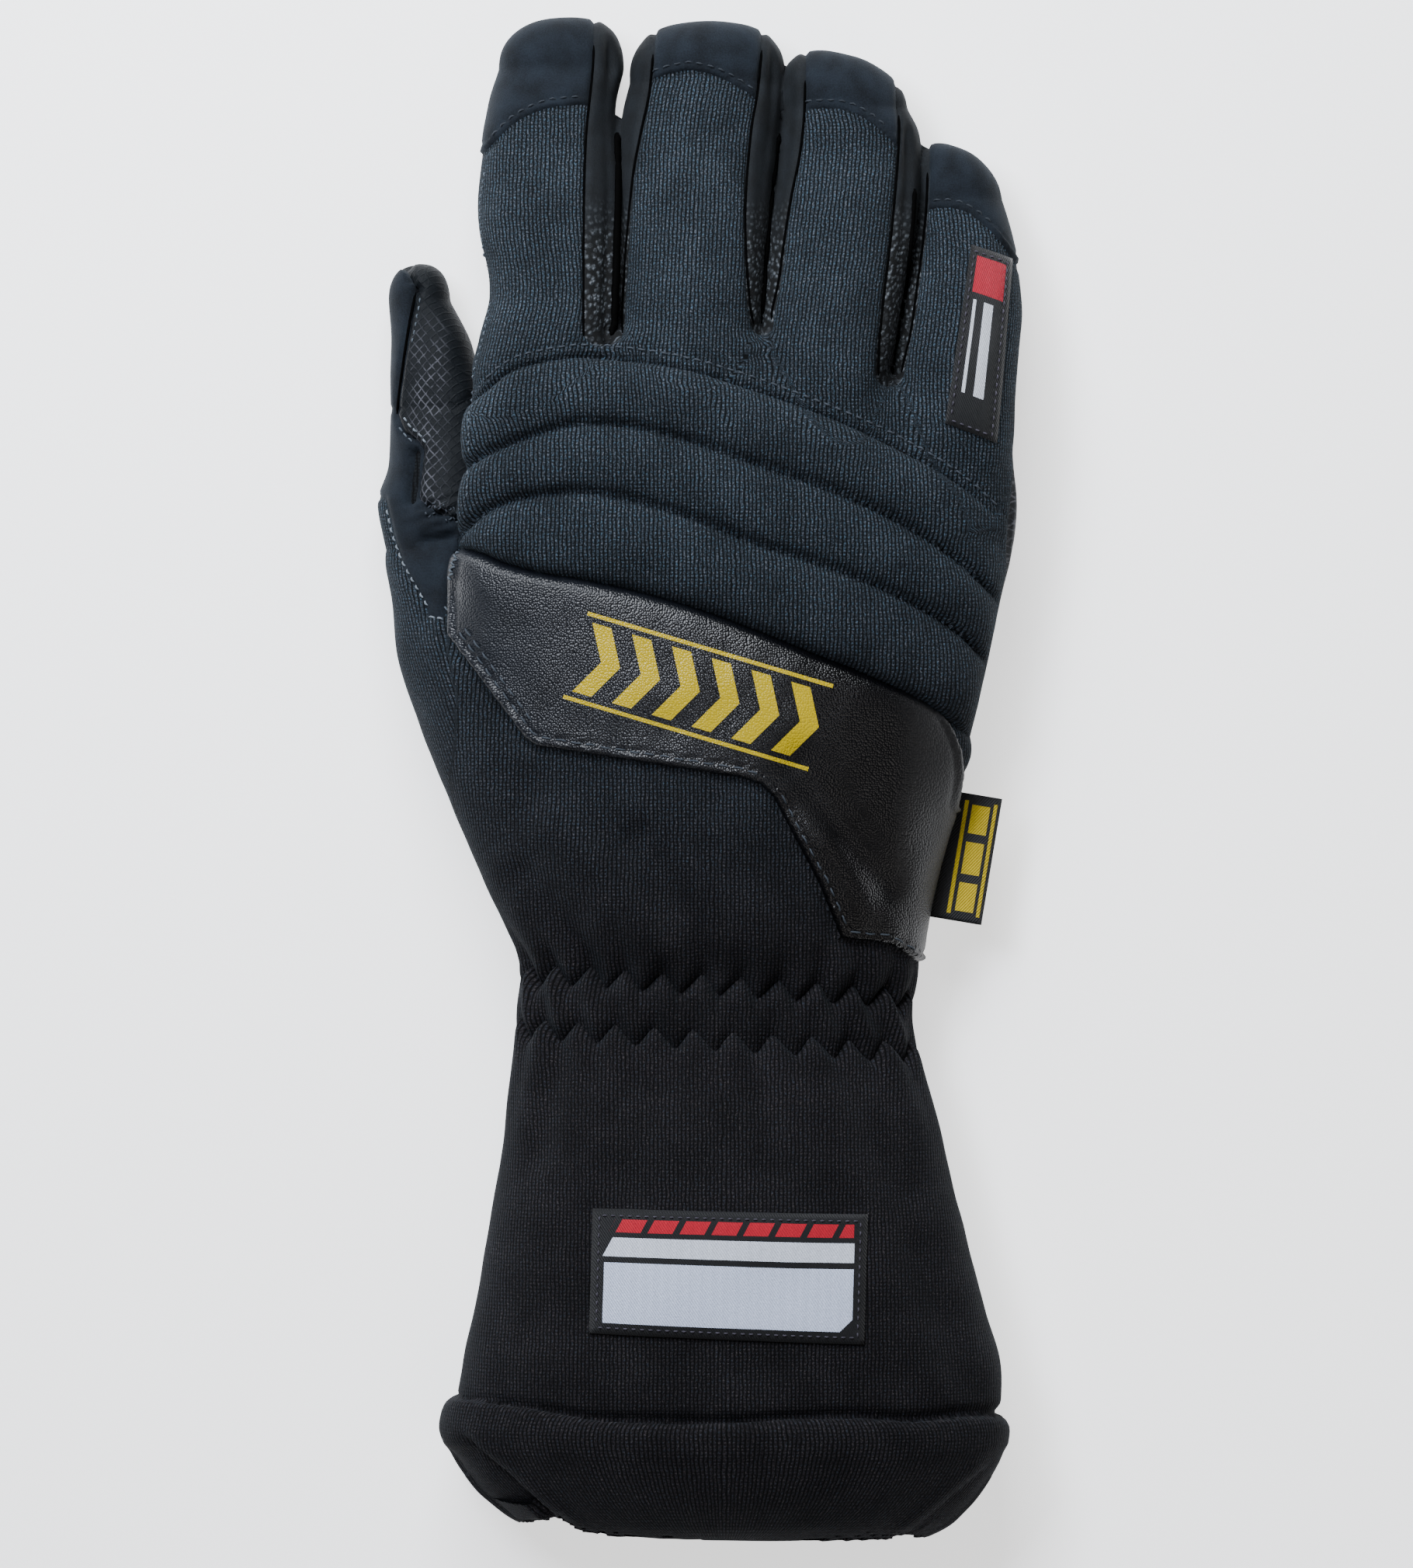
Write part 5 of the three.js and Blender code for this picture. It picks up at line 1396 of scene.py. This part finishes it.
cuffLabelMarks = [  # a row of red slanted blocks, a pale strip and the pale write-in field
    {"color": "#a70b24", "u": (-8.0, 59.2), "v": (23.6, 26.6), "every": 3.6, "gap": 0.22, "slant": -0.5},
    {"color": "#c4cad6", "u": (-6.4, 59.4), "v": (18.0, 22.4), "slant": -0.5},
    {"color": "#bbc5dc", "u": (3.0, 59.4), "v": (2.6, 16.6), "corner": -54.0},
]
fingerLabelMarks = [  # a red block above two pale bars
    {"color": "#950922", "u": (2.0, 10.2), "v": (31.0, 39.4)},
    {"color": "#b4b8c0", "u": (2.6, 9.6), "v": (8.0, 29.4), "every": 2.2, "gap": 0.45},
]
cuffLabel = drapedLabel("cuff_label", labels["cuff_label"])
finishPiece(
    cuffLabel, wovenRibbon("wovenCuffLabel", "#0c0d10", cuffLabelMarks), "woven_silver", ["cuff_label"])
fingerLabel = drapedLabel("finger_label", labels["finger_label"])
fingerRibbon = wovenRibbon("wovenFingerLabel", "#0b0c0e", fingerLabelMarks)
finishPiece(fingerLabel, fingerRibbon, "woven_black", ["finger_label"])

# The side tag, a folded ribbon sewn into the side seam.
tag = {
    "root": (56.6, -2.7), "turn": -9.5, "width": 13.0, "length": 29.4, "height": 17.0, "thick": 0.9,
    "sag": 1.4,
    "cells": (14, 30),
}


def sideTag():
    nu, nv = tag["cells"]
    wide, thick = tag["width"], tag["thick"]
    u, v = np.meshgrid(np.linspace(0, wide, nu + 1), np.linspace(0, tag["length"], nv + 1), indexing="ij")
    rounding = np.sqrt(np.maximum(0, 1 - np.maximum(0, (u - wide + thick) / thick) ** 2))
    middle = tag["height"] - tag["sag"] * (u / wide) ** 2 * (0.7 + 0.3 * np.sin(v / 6))
    angle = math.radians(tag["turn"])
    px = tag["root"][0] + u * math.cos(angle) + v * math.sin(angle)
    py = tag["root"][1] + u * math.sin(angle) - v * math.cos(angle)
    sides = [np.stack([px, py, middle + side * thick / 2 * rounding], -1).reshape(-1, 3) for side in (1, -1)]
    flat = np.stack([u, v], -1).reshape(-1, 2)
    faces = slabFaces(nu, nv, flip=True)
    return makeMesh("woven_side_tag", np.concatenate(sides), faces, np.concatenate([flat, flat]))


tagMarks = [  # two thin stripes and a broad one that two dark bars cut in three
    {"color": "#b49c00", "u": (4.6, 5.5), "v": (1.6, 27.8)},
    {"color": "#b49c00", "u": (11.4, 12.2), "v": (1.6, 27.8)},
    {"color": "#b49c00", "u": (6.4, 10.6), "v": (2.4, 27.0)},
    {"color": "#121317", "u": (6.0, 11.0), "v": (9.0, 11.0)},
    {"color": "#121317", "u": (6.0, 11.0), "v": (18.4, 20.4)},
]
finishPiece(sideTag(), wovenRibbon("wovenSideTag", "#0b0c0e", tagMarks), "woven_black", ["side_tag"])


def labelStitches(name, made, inset, pitch):
    s, t = inset / made["size"][0], inset / made["size"][1]
    square = np.array([(s, t), (1 - s, t), (1 - s, 1 - t), (s, 1 - t), (s, t)])
    stitchRow(name, onLabel(made, *square.T), pitch, pitch * 0.62, 0.2, ribbonThread)


ribbonThread = plainThread("ribbonThread", "#3a3840")
ribbonPoints, ribbonFaces = [], []
for ribbon in (cuffLabel, fingerLabel):
    ribbonFaces += [tuple(k + len(ribbonPoints) for k in side.vertices) for side in ribbon.data.polygons]
    ribbonPoints += [tuple(point.co / metre) for point in ribbon.data.vertices]
surface = BVHTree.FromPolygons(ribbonPoints, ribbonFaces)
labelStitches("stitches_cuff_label", labels["cuff_label"], 1.5, 1.9)
labelStitches("stitches_finger_label", labels["finger_label"], 1.1, 1.9)
print("labels and tag made")

# A plain pale floor and soft studio light. Each light: its place in metres, size, watts and colour.
studio = {
    "floor": "#fafafa", "glow": 1.2, "world": 0.12,
    "lights": {
        "keyLight": ((-0.12, 0.55, 0.5), 0.45, 9.6, "#f6faff"),
        "sideLight": ((-0.36, 0.34, 0.82), 0.28, 8, "#ecf2ff"),
        "fillLight": ((0.3, -0.6, 0.9), 0.8, 2.6, "#fff8f4"),
    },
}


def setStudio():
    mesh = bpy.data.meshes.new("studioFloor")
    mesh.from_pydata([(-3, -3, 0), (3, -3, 0), (3, 3, 0), (-3, 3, 0)], [], [(0, 1, 2, 3)])
    floor = bpy.data.objects.new("studioFloor", mesh)
    bpy.context.scene.collection.objects.link(floor)
    floor.location.z = -0.0002
    mesh.materials.append(setLook(
        startMaterial("paleBoard")[0], Base_Color=hexColor(studio["floor"]), Roughness=0.9,
        Emission_Color=(1, 1, 1, 1), Emission_Strength=studio["glow"]))
    world = bpy.data.worlds.new("studioWorld")
    world.use_nodes = True
    background = world.node_tree.nodes["Background"]
    fillInputs(background, {"Color": (1, 1, 1, 1), "Strength": studio["world"]})
    bpy.context.scene.world = world
    for name, (place, size, power, tint) in studio["lights"].items():
        light = bpy.data.objects.new(name, bpy.data.lights.new(name, "AREA"))
        light.data.size = size
        light.data.energy = power
        light.data.color = hexColor(tint)[:3]
        light.location = place
        light.rotation_euler = (Vector((0, 0.02, 0.02)) - Vector(place)).to_track_quat("-Z", "Y").to_euler()
        bpy.context.scene.collection.objects.link(light)


setStudio()

bpy.context.view_layer.update()
